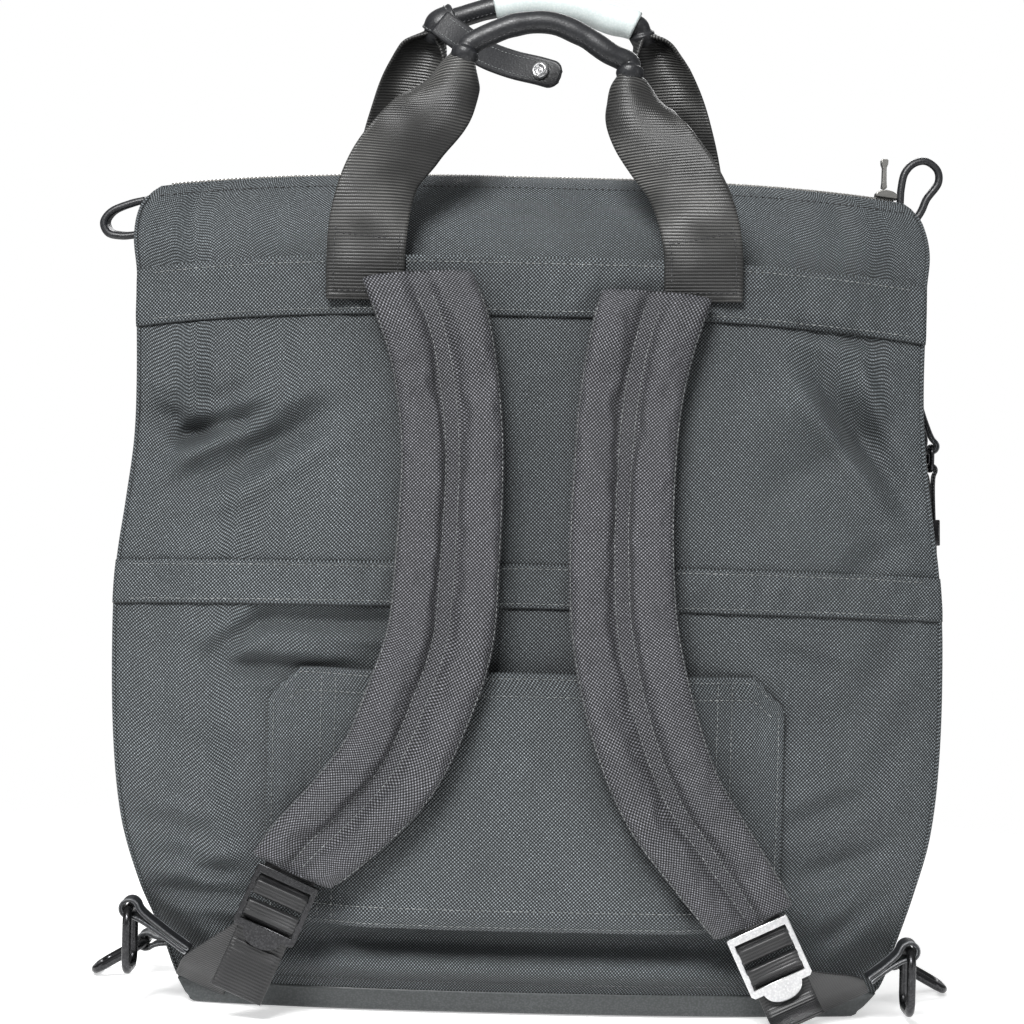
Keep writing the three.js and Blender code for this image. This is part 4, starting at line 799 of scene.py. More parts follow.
def loft(name, rings, material, closed_foot=False):
    rings = np.array(rings)
    rows, columns = rings.shape[:2]
    wrapped = np.concatenate([rings, rings[:, :1]], axis=1)
    place = np.stack([run_lengths(wrapped, 1), run_lengths(wrapped, 0)], axis=2)
    middle = place[rows // 2, :, 0]
    place[..., 0] = middle[None, :]
    points = wrapped.reshape(-1, 3)
    faces = grid_faces(rows, columns + 1)
    places = place.reshape(-1, 2)
    faces = [tuple(f) for f in faces]
    if closed_foot:
        centre = len(points)
        points = np.concatenate([points, [[0, 0, rings[0, 0, 2]]]])
        places = np.concatenate([places, [[0, 0]]])
        faces += [(centre, j + 1, j) for j in range(columns)]
    return outwards(make_mesh(name, points, faces, material, places), merge=True)


levels = np.concatenate([np.linspace(12, ROOF, 176), np.linspace(ROOF, HEIGHT, 44)[1:]]) / HEIGHT
shell_mesh = loft("body shell", [ring_at(up) for up in levels], body_cloth)
link(shell_mesh, "body shell", "bag", "back_panel", "front_panel", "roof_back", "roof_front", "gusset_left",
     "gusset_right", slot="body_cloth")
print("body shell:", len(shell_mesh.polygons), "faces")

# %% [markdown]
# The base is a shallow tray of coated cloth. It is stiffer than the rest, so it has no folds, only a
# rounded edge.

# %% Base
rings = [ring_at(0, inset=3, detail=0)]
for angle in (0, 30, 60, 90):
    t = math.radians(angle)
    low = ring_at(0, inset=3 * (1 - math.sin(t)), detail=0)
    high = ring_at(3 / HEIGHT, inset=3 * (1 - math.sin(t)), detail=0)
    ring = low + (high - low) * math.sin(t)
    ring[:, 2] = 3 * (1 - math.cos(t))
    rings.append(ring)
for z in (5, 8, 10.5, 11.6, 12, 12.0):
    ring = ring_at(z / HEIGHT, inset=(-0.6 if z < 11.7 else 0.6), detail=0)
    ring[:, 2] = z if len(rings) < 10 else 12.4
    rings.append(ring)
rings[0] = rings[0] * (0.985, 0.97, 0)
base = link(loft("base", rings, base_cloth, closed_foot=True), "base", "bag", "base_tray", slot="body_cloth")
print("base:", len(base.data.polygons), "faces")

# %% [markdown]
# Where two panels meet, their edges are held in a narrow folded strip. It is a thin tube that follows the
# seam, and it gives the bag its crisp side outline.

# %% Tubes and seam strips
def tube_grid(line, radius, facing, sides=10, squash=1.0):
    line = np.asarray(line, float)
    way = tangents(line)
    facing = np.broadcast_to(np.asarray(facing, float), line.shape)
    over = unit(np.cross(way, facing))
    face = unit(np.cross(over, way))
    angle = np.linspace(0, 2 * math.pi, sides, endpoint=False)
    radius = np.broadcast_to(np.asarray(radius, float), (len(line),))
    ring = over[:, None] * np.cos(angle)[:, None] + face[:, None] * np.sin(angle)[:, None] * squash
    return line[:, None] + ring * radius[:, None, None]


def tube(name, line, radius, facing, material, sides=10, squash=1.0, stands_for=(), slot=None):
    grid = tube_grid(line, radius, facing, sides, squash)
    rows, columns = grid.shape[:2]
    wrapped = np.concatenate([grid, grid[:, :1]], axis=1)
    place = cloth_uv(wrapped)[:, :-1].reshape(-1, 2)
    points = np.concatenate([grid.reshape(-1, 3), [grid[0].mean(axis=0), grid[-1].mean(axis=0)]])
    place = np.concatenate([place, place[:1], place[-1:]])
    mesh = outwards(make_mesh(name, points, capped_faces(rows, columns), material, place))
    return link(mesh, name, "bag", *stands_for, slot=slot)


SEAM = 1.2
seam_up = np.linspace(14 / HEIGHT, 0.985, 150)
for side, part in ((-1, "back"), (1, "front")):
    for hand, flank in ((-1, "left"), (1, "right")):
        line = body_point(side, np.full(150, float(hand)), seam_up, 0)
        line = line + np.array([-hand * 0.9, side * 0.1, 0])
        tube("seam %s %s" % (part, flank), line, SEAM, (hand, side, 0), body_cloth, squash=0.8,
             slot="body_cloth")
    across = np.linspace(-1, 1, 150)
    line = body_point(side, across, np.full(150, 1.0), 0) + np.array([0, -side * 0.6, -0.7])
    tube("roof hem " + part, line, SEAM, (0, 0, 1), body_cloth, squash=0.7, slot="body_cloth")
print("seam strips made")

# %% [markdown]
# ## Bands and sleeve
# Two bands are stitched across the worn side and one across the front. They are cut double, so their edges
# are round and thick. Each follows the body it is sewn to, and a row of stitches runs just inside both
# edges.

# %% Bands
BAND = 1.4
SEWN_ROOM = 0.25
BAND_STAND = CLEAR + SEWN_ROOM
TOP_LOW, TOP_HIGH = ROOF - 10, ROOF + 17.5
TOP_LIFT = 2.5
MID_LOW, MID_HIGH = ROOF - 151, ROOF - 130.5
SEWN = ROOF - 6


def droop_at(z):
    return float(section(np.array(z / HEIGHT))[5]) * HEIGHT


def band_grid(side, low, high, lift, droop, rows=12, columns=190):
    z = np.linspace(low, high, rows)[:, None]
    share = np.linspace(-1, 1, columns)[None, :]
    point = body_point(side, share, np.minimum(z, SEWN) / HEIGHT)
    rise = (z - low) / (high - low)
    stand = BAND_STAND + lift * rise * (1 - share ** 6) + BAND / 2
    stand = stand + 0.35 * ripples(point[..., 0] * 2.2, z * 1.5, QUICK)
    sewn = np.minimum(np.abs(rise - 0.09), np.abs(rise - 0.91)) / 0.06
    stand = stand - 0.3 * np.exp(-sewn ** 2)
    x, y = point[..., 0], point[..., 1] + side * stand
    return np.stack([x, y, np.broadcast_to(z, x.shape) - droop * np.abs(share) ** 3], axis=-1)


def rows_on(grid, rows, out, lift, columns=slice(4, -4)):
    # Lines that follow chosen rows of a grid, raised a little off its outer face.
    normal = normals_of(grid)
    flip = np.sign(np.sum(normal * np.asarray(out, float), axis=2, keepdims=True))
    normal = normal * np.where(flip == 0, 1, flip)
    lines = []
    for row in rows:
        i = int(math.floor(row))
        t = row - i
        line = grid[i] * (1 - t) + grid[min(i + 1, len(grid) - 1)] * t
        lines.append(((line + normal[i] * lift)[columns], normal[i][columns]))
    return lines


top_droop = droop_at(SEWN)
mid_droop = droop_at((MID_LOW + MID_HIGH) / 2)
stitches = []
for name, side, low, high, lift, droop in (
        ("top_band_back", -1, TOP_LOW, TOP_HIGH, TOP_LIFT, top_droop),
        ("top_band_front", 1, TOP_LOW, TOP_HIGH, TOP_LIFT, top_droop),
        ("mid_band", -1, MID_LOW, MID_HIGH, 0, mid_droop)):
    grid = band_grid(side, low, high, lift, droop)
    ribbon(name, grid, BAND, body_cloth, "body_cloth")
    stitches += rows_on(grid, (1, 10), (0, side, 0), BAND / 2 + 0.1)
stitch_rows("band stitches", stitches, 3.0, 0.55, thread)
print("bands made")

# %% [markdown]
# The sleeve that slides over a trolley's handle is sewn down at both sides and open above and below. Its
# hems are turned twice, so the cloth is thicker there, and double rows of stitches mark where the opening
# begins.

# %% Trolley sleeve
SLEEVE_WIDE, SLEEVE_LOW, SLEEVE_HIGH = 248, 45, MID_LOW - 31
SLEEVE_CHAMFER, SLEEVE_THICK, SLEEVE_SPACE, SLEEVE_SEAM = 15, 1.8, 8.5, 20
SLEEVE_STAND = CLEAR + 0.5


def sleeve_grid(rows=70, columns=130):
    half = SLEEVE_WIDE / 2
    x = np.linspace(-half, half, columns)[None, :]
    share = np.linspace(0, 1, rows)[:, None]
    cut = np.maximum(0, np.abs(x) - (half - SLEEVE_CHAMFER))
    z = SLEEVE_LOW + (SLEEVE_HIGH - cut - SLEEVE_LOW) * share
    x = np.broadcast_to(x, z.shape)
    opening = smoothstep(half - SLEEVE_SEAM - np.abs(x), 0, half * 0.25)
    body_at = body_depth(-1, x, z, 0.5)
    stand = SLEEVE_STAND + SLEEVE_SPACE * opening + SLEEVE_THICK / 2
    hem = np.minimum(half - np.abs(x), (z - SLEEVE_LOW) * 1.0)
    hem = np.minimum(hem, SLEEVE_HIGH - cut - z)
    stand = stand + 0.5 * (1 - smoothstep(hem, 9, 11))
    stand = stand + 0.7 * ripples(x * 0.8, z, SLOW) * opening + 0.3 * ripples(x, z, QUICK)
    for line in (half - 3, half - SLEEVE_SEAM - 6, half - SLEEVE_SEAM + 1):
        stand = stand - 0.35 * np.exp(-((np.abs(x) - line) / 1.6) ** 2)
    return np.stack([x, -body_at - stand, z], axis=-1)


sleeve = sleeve_grid()
ribbon("trolley_sleeve", sleeve, SLEEVE_THICK, body_cloth, "body_cloth")
sides = np.swapaxes(sleeve, 0, 1)
seams = rows_on(sleeve, (1.2, len(sleeve) - 2.4), (0, -1, 0), 1.0, slice(3, -3))
seams += rows_on(sleeve, (5.5, len(sleeve) - 7.0), (0, -1, 0), 1.0, slice(3, -3))
for column in (1.4, 13.5, 17.2):
    seams += rows_on(sides, (column, len(sides) - 1 - column), (0, -1, 0), 1.0, slice(2, -2))
stitch_rows("sleeve stitches", seams, 3.0, 0.5, thread)

# %% [markdown]
# A long seam holds the body's lower edge to the base, and finer rows run along both sides of the zip.
# Stitches this small still matter, because an even dotted line is how the eye recognises a sewn edge.

# %% Body stitches
rows = []
for side in (-1, 1):
    for up, reach in ((16.5 / HEIGHT, 0.95), (0.985, 0.97)):
        share = np.linspace(-reach, reach, 160)
        line = body_point(side, share, np.full(160, up))
        out = np.array([0, side, 0.6 if up > 0.5 else 0])
        rows.append((line + unit(out) * 0.25, np.broadcast_to(unit(out), line.shape)))
stitch_rows("body stitches", rows, 3.2, 0.45, dark_thread)

# %% [markdown]
# ## Zip
# The zip follows the ridge from end to end. Its teeth are one small shape repeated nearly two hundred
# times, set in turn on the two tapes. They are made as one mesh, because one object with many parts renders
# faster than many objects.

# %% Ridge and tapes
def ridge_at(x):
    x = np.asarray(x, float)
    half = WIDTH / 2 * np.where(x < 0, *RIDGE_SHARES)
    return HEIGHT * (1 - ROOF_DROOP * np.abs(x / half) ** 3)


RIDGE_LEFT = -(WIDTH / 2 * RIDGE_SHARES[0] - CLOTH - CLEAR)
RIDGE_RIGHT = WIDTH / 2 * RIDGE_SHARES[1] - CLOTH - CLEAR
TAPE, TEETH_WIDE, TEETH_HIGH, TAPE_REACH = 1.4, 4, 3.2, 6.4
along = np.linspace(RIDGE_LEFT, RIDGE_RIGHT, 150)
for side, part in ((-1, "back"), (1, "front")):
    y = side * np.linspace(TEETH_WIDE / 2 + CLEAR, TAPE_REACH, 7)
    places = np.broadcast_arrays(along[:, None], y[None, :], ridge_at(along)[:, None] - TAPE / 2)
    ribbon("zip_tape_" + part, np.stack(places, axis=-1), TAPE, tape_cloth, "webbing")
print("tapes made")

# %% Teeth
# A tooth's outline, along the tape and up, and its sections from its foot to its tip, out from the tape.
TOOTH = [(-0.75, 0), (0.75, 0), (0.95, 0.5), (0.6, 1), (-0.6, 1), (-0.95, 0.5)]
TOOTH_SECTIONS = [(-0.8, 0.75), (-0.3, 1), (1.9, 1), (2.0, 0.75)]
TOOTH_LONG, TOOTH_STEP = 0.62, 1.0
points, faces = [], []
for number, x in enumerate(np.arange(RIDGE_LEFT + 2.5, RIDGE_RIGHT - 1, TOOTH_STEP)):
    side = -1 if number % 2 else 1
    low = ridge_at(x) - TAPE
    base_index = len(points)
    for y, shrink in TOOTH_SECTIONS:
        for a, h in TOOTH:
            up = low + TEETH_HIGH * (0.5 + (h - 0.5) * shrink)
            points.append((x + a * TOOTH_LONG * shrink, side * y, up))
    for ring in range(3):
        for k in range(6):
            a, b = base_index + ring * 6 + k, base_index + ring * 6 + (k + 1) % 6
            faces.append((a, b, b + 6, a + 6))
    faces.append(tuple(base_index + k for k in range(6)))
    faces.append(tuple(base_index + 18 + k for k in range(6)))
teeth = outwards(make_mesh("zip teeth", points, faces, zip_metal, smooth=False))
link(teeth, "zip teeth", "bag", "zip_chain", slot="zip_metal")
print("zip teeth:", len(faces) // 20)

# %% [markdown]
# The slider and its pull are cast metal. Their side outlines are drawn as flat shapes and given thickness,
# and a small bevel rounds every edge so that it catches a line of light.

# %% Solid shapes from outlines
def plate_mesh(name, outlines, thickness, bevel, material):
    # outlines are closed lists of (x, y); the first is the outside and the others are holes.
    data = bpy.data.curves.new(name + " outline", "CURVE")
    data.dimensions = "2D"
    data.fill_mode = "BOTH"
    data.extrude = (thickness / 2 - bevel) * MM
    data.bevel_depth = bevel * MM
    data.bevel_resolution = 2
    data.offset = -bevel * MM
    for outline in outlines:
        spline = data.splines.new("POLY")
        spline.points.add(len(outline) - 1)
        for point, (x, y) in zip(spline.points, outline):
            point.co = (x * MM, y * MM, 0, 1)
        spline.use_cyclic_u = True
    item = bpy.data.objects.new(name + " outline", data)
    bpy.context.scene.collection.objects.link(item)
    bpy.context.view_layer.update()
    mesh = bpy.data.meshes.new_from_object(item.evaluated_get(bpy.context.evaluated_depsgraph_get()))
    bpy.data.objects.remove(item)
    bpy.data.curves.remove(data)
    outwards(mesh, merge=True)
    mesh.materials.clear()
    mesh.materials.append(material)
    mesh.name = name
    return mesh


def placed(mesh, origin, x_way, y_way):
    # Puts a mesh made flat in x and y onto a plane through origin.
    z_way = np.cross(x_way, y_way)
    turn = Matrix([[*map(float, row)] for row in np.stack([x_way, y_way, z_way], axis=1)])
    mesh.transform(Matrix.Translation(Vector([float(v) * MM for v in origin])) @ turn.to_4x4())
    return mesh


def bend_points(a, control, b, steps=8):
    t = np.linspace(0, 1, steps)[:, None]
    a, control, b = (np.array(p, float) for p in (a, control, b))
    return [tuple(p) for p in (1 - t) ** 2 * a + 2 * t * (1 - t) * control + t * t * b]


SLIDER_HALF, SLIDER_HIGH, SHOULDER, SLIDER_WIDE = 5.5, 4, 1.8, 8
PIN, PIN_LIFT, PULL_WIDE = 2, 0.4, 5
slider_x = RIDGE_RIGHT - SLIDER_HALF - 0.1
slider_z = float(ridge_at(slider_x)) + TEETH_HIGH - TAPE + CLEAR
fall = float(ridge_at(slider_x - SLIDER_HALF) - ridge_at(slider_x + SLIDER_HALF))
slope = math.atan2(fall, SLIDER_HALF * 2)
start, crown = (SLIDER_HALF, SHOULDER), (0, SLIDER_HIGH)
outline = [(-SLIDER_HALF, 0), (SLIDER_HALF, 0), *bend_points(start, (SLIDER_HALF * 0.7, SLIDER_HIGH), crown)]
outline += bend_points(crown, (-SLIDER_HALF * 0.7, SLIDER_HIGH), (-SLIDER_HALF, SHOULDER))[1:]
along_way = np.array([math.cos(slope), 0, -math.sin(slope)])
up_way = np.array([math.sin(slope), 0, math.cos(slope)])
slider_mesh = plate_mesh("slider", [outline], SLIDER_WIDE, 0.5, zip_metal)
placed(slider_mesh, (slider_x, 0, slider_z), along_way, up_way)
link(slider_mesh, "slider", "bag", "zip_slider", slot="zip_metal")
hinge_x, hinge_z = slider_x - 1, slider_z + SLIDER_HIGH + CLEAR + PIN + PIN_LIFT
foot = [(PIN * math.cos(a), PIN * math.sin(a)) for a in np.linspace(math.pi * 1.25, math.pi * 1.75, 7)]
pull_outline = foot + [(1.1, 1.5), (1, 8.6), (1.7, 10.4), (1.8, 12.4), (1.2, 13), (-1.2, 13), (-1.8, 12.4),
                       (-1.7, 10.4), (-1, 8.6), (-1.1, 1.5)]
pull_mesh = plate_mesh("pull", [pull_outline], PULL_WIDE, 0.4, zip_metal)
placed(pull_mesh, (hinge_x, 0, hinge_z), np.array([1.0, 0, 0]), np.array([0, 0, 1.0]))
link(pull_mesh, "pull", "pull", "zip_pull", slot="zip_metal")
print("slider at", round(slider_x, 1), round(slider_z, 1))

# %% [markdown]
# ## Handles
# Each handle is one strip of webbing at either side, sewn flat to the top band and curled up towards a
# leather grip. The strip keeps its width of 37 mm the whole way. Where it looks narrow, it is rolled: its
# section becomes an arc and at last nearly a closed tube.

# %% Webbing runs
SPREAD, RISE, FOOT, WEB_WIDE, WEB_THICK = 82, 125, ROOF - 4, 37, 1.8
# across, out, up, wide, turn
RUNS = {
    "back_left": (-1, [
        (-1, 0.92, 0, 1, 0), (-1, 0.955, 0.2, 1, 0), (-0.97, 0.97, 0.35, 0.995, 12),
        (-0.9, 0.94, 0.49, 0.99, 20), (-0.76, 0.87, 0.63, 0.97, 10), (-0.61, 0.79, 0.76, 0.9, -8),
        (-0.52, 0.73, 0.88, 0.64, -18), (-0.455, 0.69, 0.97, 0.33, -26)]),
    "back_right": (-1, [
        (0.985, 0.92, 0.02, 1, 0), (0.975, 0.955, 0.22, 1, 0), (0.92, 0.97, 0.36, 0.995, -12),
        (0.83, 0.94, 0.48, 0.985, -20), (0.69, 0.88, 0.61, 0.96, -14), (0.59, 0.8, 0.73, 0.86, 0),
        (0.545, 0.73, 0.84, 0.6, 12), (0.53, 0.69, 0.91, 0.33, 20)]),
    "front_left": (1, [
        (-1, 0.92, 0, 1, 0), (-1, 0.96, 0.2, 1, 0), (-0.985, 0.95, 0.4, 1, 8),
        (-0.94, 0.89, 0.61, 0.99, 12), (-0.885, 0.79, 0.78, 0.98, 10), (-0.8, 0.68, 0.95, 0.94, 2),
        (-0.715, 0.58, 1.09, 0.7, -8), (-0.66, 0.53, 1.17, 0.34, -14)]),
    "front_right": (1, [
        (0.99, 0.92, 0, 1, 0), (0.99, 0.96, 0.2, 1, 0), (0.99, 0.95, 0.4, 1, -8),
        (0.97, 0.89, 0.6, 0.99, -12), (0.9, 0.79, 0.78, 0.98, -10), (0.8, 0.68, 0.95, 0.94, -2),
        (0.71, 0.58, 1.09, 0.7, 8), (0.645, 0.53, 1.18, 0.34, 14)]),
}


def band_face(side, x, z):
    lift = min(max((z - TOP_LOW) / (TOP_HIGH - TOP_LOW), 0), 1) * TOP_LIFT
    return float(body_depth(side, x, SEWN, 0)) + BAND_STAND + lift + BAND


def handle_point(side, row):
    x, z = row[0] * SPREAD, FOOT + row[2] * RISE
    inner = x - math.copysign(WEB_WIDE / 2, x)
    seat = band_face(side, inner, z) + BAND_STAND + WEB_THICK / 2
    return np.array([x, side * (seat if row[2] < 0.3 else row[1] * DEPTH / 2), z])


BENDS = np.linspace(0.02, 2 * math.pi, 120)
CHORDS = np.where(BENDS < math.pi, np.sin(BENDS / 2) / (BENDS / 2), 2 / BENDS)


WEB_ROWS, WEB_COLUMNS = 90, 26


def rolled_grid(points, widths, turns, facing, width, rows=WEB_ROWS, columns=WEB_COLUMNS, tuck=0.0):
    shares = np.linspace(0, 1, rows)
    line = curve_points(points, shares)
    read = table_reader([(i / (len(points) - 1), w, t) for i, (w, t) in enumerate(zip(widths, turns))])
    wide, turn = read(shares).T
    way = tangents(line)
    across = unit(np.cross(way, np.broadcast_to(facing, way.shape)))
    face = unit(np.cross(across, way))
    across, face = (turned(v, way, np.radians(turn)) for v in (across, face))
    bend = np.interp(-np.clip(wide, 0.32, 0.999), -CHORDS, BENDS)
    size = width * (1 - tuck * smoothstep(shares, 0.86, 1))
    radius = size / bend
    angle = np.linspace(-0.5, 0.5, columns)[None, :] * bend[:, None]
    middle = radius * np.sin(bend / 2) / (bend / 2)
    over = radius[:, None] * np.sin(angle)
    high = radius[:, None] * np.cos(angle) - middle[:, None]
    return line[:, None] + across[:, None] * over[..., None] + face[:, None] * high[..., None]


handle_ends = {}
edge_rows = []
for place, (side, rows) in RUNS.items():
    points = [handle_point(side, row) for row in rows]
    handle_ends[place] = points[-2:]
    grid = rolled_grid(points, [r[3] for r in rows], [r[4] for r in rows], (0, side, 0), WEB_WIDE, tuck=0.2)
    row = np.arange(WEB_ROWS)
    sway = ripples(np.arange(WEB_COLUMNS)[None, :] * 2.0, row[:, None] * 1.6, QUICK) * 0.35
    grid = grid + normals_of(grid) * (sway * smoothstep(row, 22, 40)[:, None])[..., None]
    ribbon("handle_webbing_" + place, grid, WEB_THICK, webbing, "webbing")
    sewn = grid[:19]
    for line in (sewn[:, 2], sewn[:, -3], sewn[2, 2:-2], sewn[16, 2:-2]):
        flank = np.broadcast_to(np.array([0.0, side, 0]), line.shape)
        edge_rows.append((line + flank * (WEB_THICK / 2 + 0.1), flank))
stitch_rows("handle stitches", edge_rows, 2.6, 0.5, dark_thread)
print("handle webbing made")

# %% [markdown]
# The grips are leather rolled round a cord and sewn along the underside. Their ends take in the rolled
# webbing, so they are a little thicker there. The front grip carries a leather collar and a pale sleeve.

# %% Grips
GRIP, GRIP_ROOM, GRIP_WALL = 5.5, 0.7, 1.7


def grip_line(left, right, arch, count=120):
    ends = []
    for name in (left, right):
        a, b = handle_ends[name]
        away = unit(b - a)
        ends.append([b + away * CLEAR * 2, b + away * GRIP])
    highest = max(ends[0][0][2], ends[1][0][2])
    middle = []
    for share, rise, out in arch:
        along = ends[0][0] + (ends[1][0] - ends[0][0]) * share
        middle.append((along[0], along[1] + out * DEPTH, highest + rise * RISE))
    points = [ends[0][0], ends[0][1], *middle, ends[1][1], ends[1][0]]
    return curve_points(points, np.linspace(0, 1, count))


# share of the way across, rise, out
BACK_ARCH = [(0.16, 0.082, 0.004), (0.32, 0.12, 0.006), (0.52, 0.128, 0.008), (0.72, 0.078, 0.006),
             (0.88, 0.012, 0.002)]
FRONT_ARCH = [(0.14, 0.066, -0.004), (0.3, 0.106, -0.008), (0.5, 0.127, -0.01), (0.7, 0.106, -0.008),
              (0.86, 0.062, -0.004)]
back_grip = grip_line("back_left", "back_right", BACK_ARCH)
front_grip = grip_line("front_left", "front_right", FRONT_ARCH)
front_share = np.linspace(0, 1, len(front_grip))


def longer(line, step):
    before = line[0] + unit(line[0] - line[1]) * step
    after = line[-1] + unit(line[-1] - line[-2]) * step
    return np.concatenate([[before], line, [after]])


seam_rows = []
for part, line in (("back", back_grip), ("front", front_grip)):
    whole = longer(line, 5)
    share = np.linspace(0, 1, len(whole))
    end = 1 - smoothstep(np.minimum(share, 1 - share), 0.015, 0.07)
    radius = GRIP + 1.3 * end + 0.12 * ripples(share * 260, share * 0, QUICK)
    radius[0] = radius[-1] = GRIP + 0.6
    tube("grip " + part, whole, radius, (0, 1, 0), leather, sides=28, stands_for=("grip_" + part,),
         slot="leather")
    way = tangents(line)
    below = unit(np.cross(unit(np.cross(way, np.broadcast_to((0, 1.0, 0), way.shape))), way))
    lower = unit(np.cross(way, below))
    side = unit(np.array([0, -1.0, 0]) + lower * np.sign(-lower[:, 2:3]) * 0.8)
    side = unit(side - way * np.sum(side * way, axis=1, keepdims=True))
    seam_rows.append(((line + side * (GRIP + 0.15))[8:-8], side[8:-8]))
stitch_rows("grip stitches", seam_rows, 2.4, 0.45, dark_thread)
print("grips made")

# %% Collar and pale sleeve
def wrapping(name, first, last, material, node, slot, rim, steps=60):
    shares = np.linspace(first, last, steps)
    line = sample(front_grip, shares, front_share)
    near = np.minimum(np.arange(steps), np.arange(steps)[::-1])
    radius = GRIP + GRIP_ROOM + GRIP_WALL + rim * np.exp(-((near - 3.5) / 2.2) ** 2)
    radius = radius - 1.2 * np.exp(-near * 1.4) + 0.08 * ripples(shares * 300, shares * 0, QUICK)
    tube(name, line, radius, (0, 1, 0), material, sides=36, stands_for=(node,), slot=slot)
    return line, radius


collar_line, collar_radius = wrapping("collar", 0.03, 0.2, leather, "handle_collar", "leather", 0.5)
wrapping("pale sleeve", 0.36, 0.86, pale_leather, "grip_sleeve", "pale_leather", 0.15, steps=110)
rows = []
for index in (9, 50):
    angle = np.linspace(0, 2 * math.pi, 60)
    way = tangents(collar_line)[index]
    over = unit(np.cross(way, (0, 1.0, 0)))
    face = unit(np.cross(over, way))
    ring = over * np.cos(angle)[:, None] + face * np.sin(angle)[:, None]
    rows.append((collar_line[index] + ring * (collar_radius[index] + 0.05), ring))
stitch_rows("collar stitches", rows, 2.6, 0.55, thread)

# %% [markdown]
# A short leather tab hangs from the collar and ends in a press stud. A strap of constant width along a
# curve is the most common shape on a bag, so it gets a helper: the grid of a strap, its shell and its
# polished edges.

# %% Straps along a line
def strap_grid(line, width, across=None, facing=None, columns=10):
    line = np.asarray(line, float)
    way = tangents(line)
    if across is None:
        over = unit(np.cross(way, np.broadcast_to(facing, way.shape)))
    else:
        over = np.broadcast_to(unit(across), way.shape)
    width = np.broadcast_to(np.asarray(width, float), (len(line),))
    place = np.linspace(-0.5, 0.5, columns)
    return line[:, None] + over[:, None] * (place[None, :, None] * width[:, None, None])


def edge_tubes(name, grid, thickness, material, slot):
    normal = normals_of(grid)
    for number, column in enumerate((0, -1)):
        out = unit(grid[:, column] - grid[:, 1 if column == 0 else -2])
        line = grid[:, column] - out * thickness * 0.3
        tube("%s edge %d" % (name, number + 1), line, thickness * 0.56, normal[:, column], material, sides=8,
             slot=slot)


TAB_THICK, TAB_WIDE, TAB_REACH, TAB_OUT, TAB_DROP = 2.2, 13, 62, 38, 33
collar_middle = sample(front_grip, 0.115, front_share)
stand = GRIP + GRIP_ROOM + GRIP_WALL + CLEAR + TAB_THICK / 2 + 0.2
# Shares of the tab's reach across, its way out and its drop.
SNAP = [(0, 0, 0), (0.16, 0.16, 0.24), (0.38, 0.48, 0.57), (0.62, 0.74, 0.78), (0.84, 0.9, 0.9), (1, 1, 1)]
snap_points = [collar_middle + np.array([r * TAB_REACH, -stand - f * TAB_OUT, -d * TAB_DROP])
               for r, f, d in SNAP]
shares = np.linspace(0, 1, 60)
snap_line = curve_points(snap_points, shares)
snap_wide = TAB_WIDE * np.where(shares > 0.9, np.sqrt(np.maximum(1 - ((shares - 0.9) / 0.115) ** 2, 0.2)), 1)
snap_grid = strap_grid(snap_line, snap_wide, facing=(0, -1, 0), columns=14)
ribbon("snap_tab", snap_grid, TAB_THICK, leather, "leather")
sides_of_tab = np.swapaxes(snap_grid, 0, 1)
stitch_rows("tab stitches", rows_on(sides_of_tab, (2, 11), (0, -1, 0.2), 1.2, slice(3, -5)), 2.2, 0.4, thread)
print("snap tab made")

# %% Press stud
def lathe(name, profile, origin, axis, material, node, slot, steps=48):
    axis = unit(np.asarray(axis, float))
    one = unit(np.cross(axis, (0.3, 0.2, 1)))
    two = np.cross(axis, one)
    angle = np.linspace(0, 2 * math.pi, steps, endpoint=False)
    ring = one * np.cos(angle)[:, None] + two * np.sin(angle)[:, None]
    grid = np.array([np.asarray(origin) + ring * r + axis * h for r, h in profile])
    faces = [tuple(f) for f in grid_faces(len(profile), steps, around=True)]
    link(outwards(make_mesh(name, grid.reshape(-1, 3), faces, material)), name, "bag", node, slot=slot)


way = tangents(snap_line)
stud_row = int(round(0.81 * (len(snap_line) - 1)))
over = unit(np.cross(way[stud_row], (0, -1.0, 0)))
stud_axis = unit(np.cross(over, way[stud_row]))
stud_foot = snap_line[stud_row] + stud_axis * (TAB_THICK / 2 + CLEAR)
# radius, height
STUD = [(0.01, 0), (4.5, 0), (4.5, 0.7), (4.3, 1.3), (3.9, 1.9), (3.4, 2.3), (2.9, 2.35), (2.5, 2.1),
        (2.3, 1.3), (2.0, 0.9), (1.2, 0.8), (0.9, 1.0), (0.5, 1.35), (0.01, 1.4)]
lathe("press stud", STUD, stud_foot, stud_axis, steel, "snap_stud", "bright_metal")
print("stud at", np.round(stud_foot, 1))

# %% [markdown]
# ## Shoulder pads
# A pad is a long cushion with foam inside and a channel sewn down its middle. The rough form is built as
# rings along a curve. Then the cloth simulation blows it up from inside, while the sewn lines are held, so
# the cover gets the tight, slightly puckered look that modelling by hand rarely reaches.

# %% Pad tables
PAD_WIDE, PAD_THICK, PAD_ARCH = 52, 11, 9
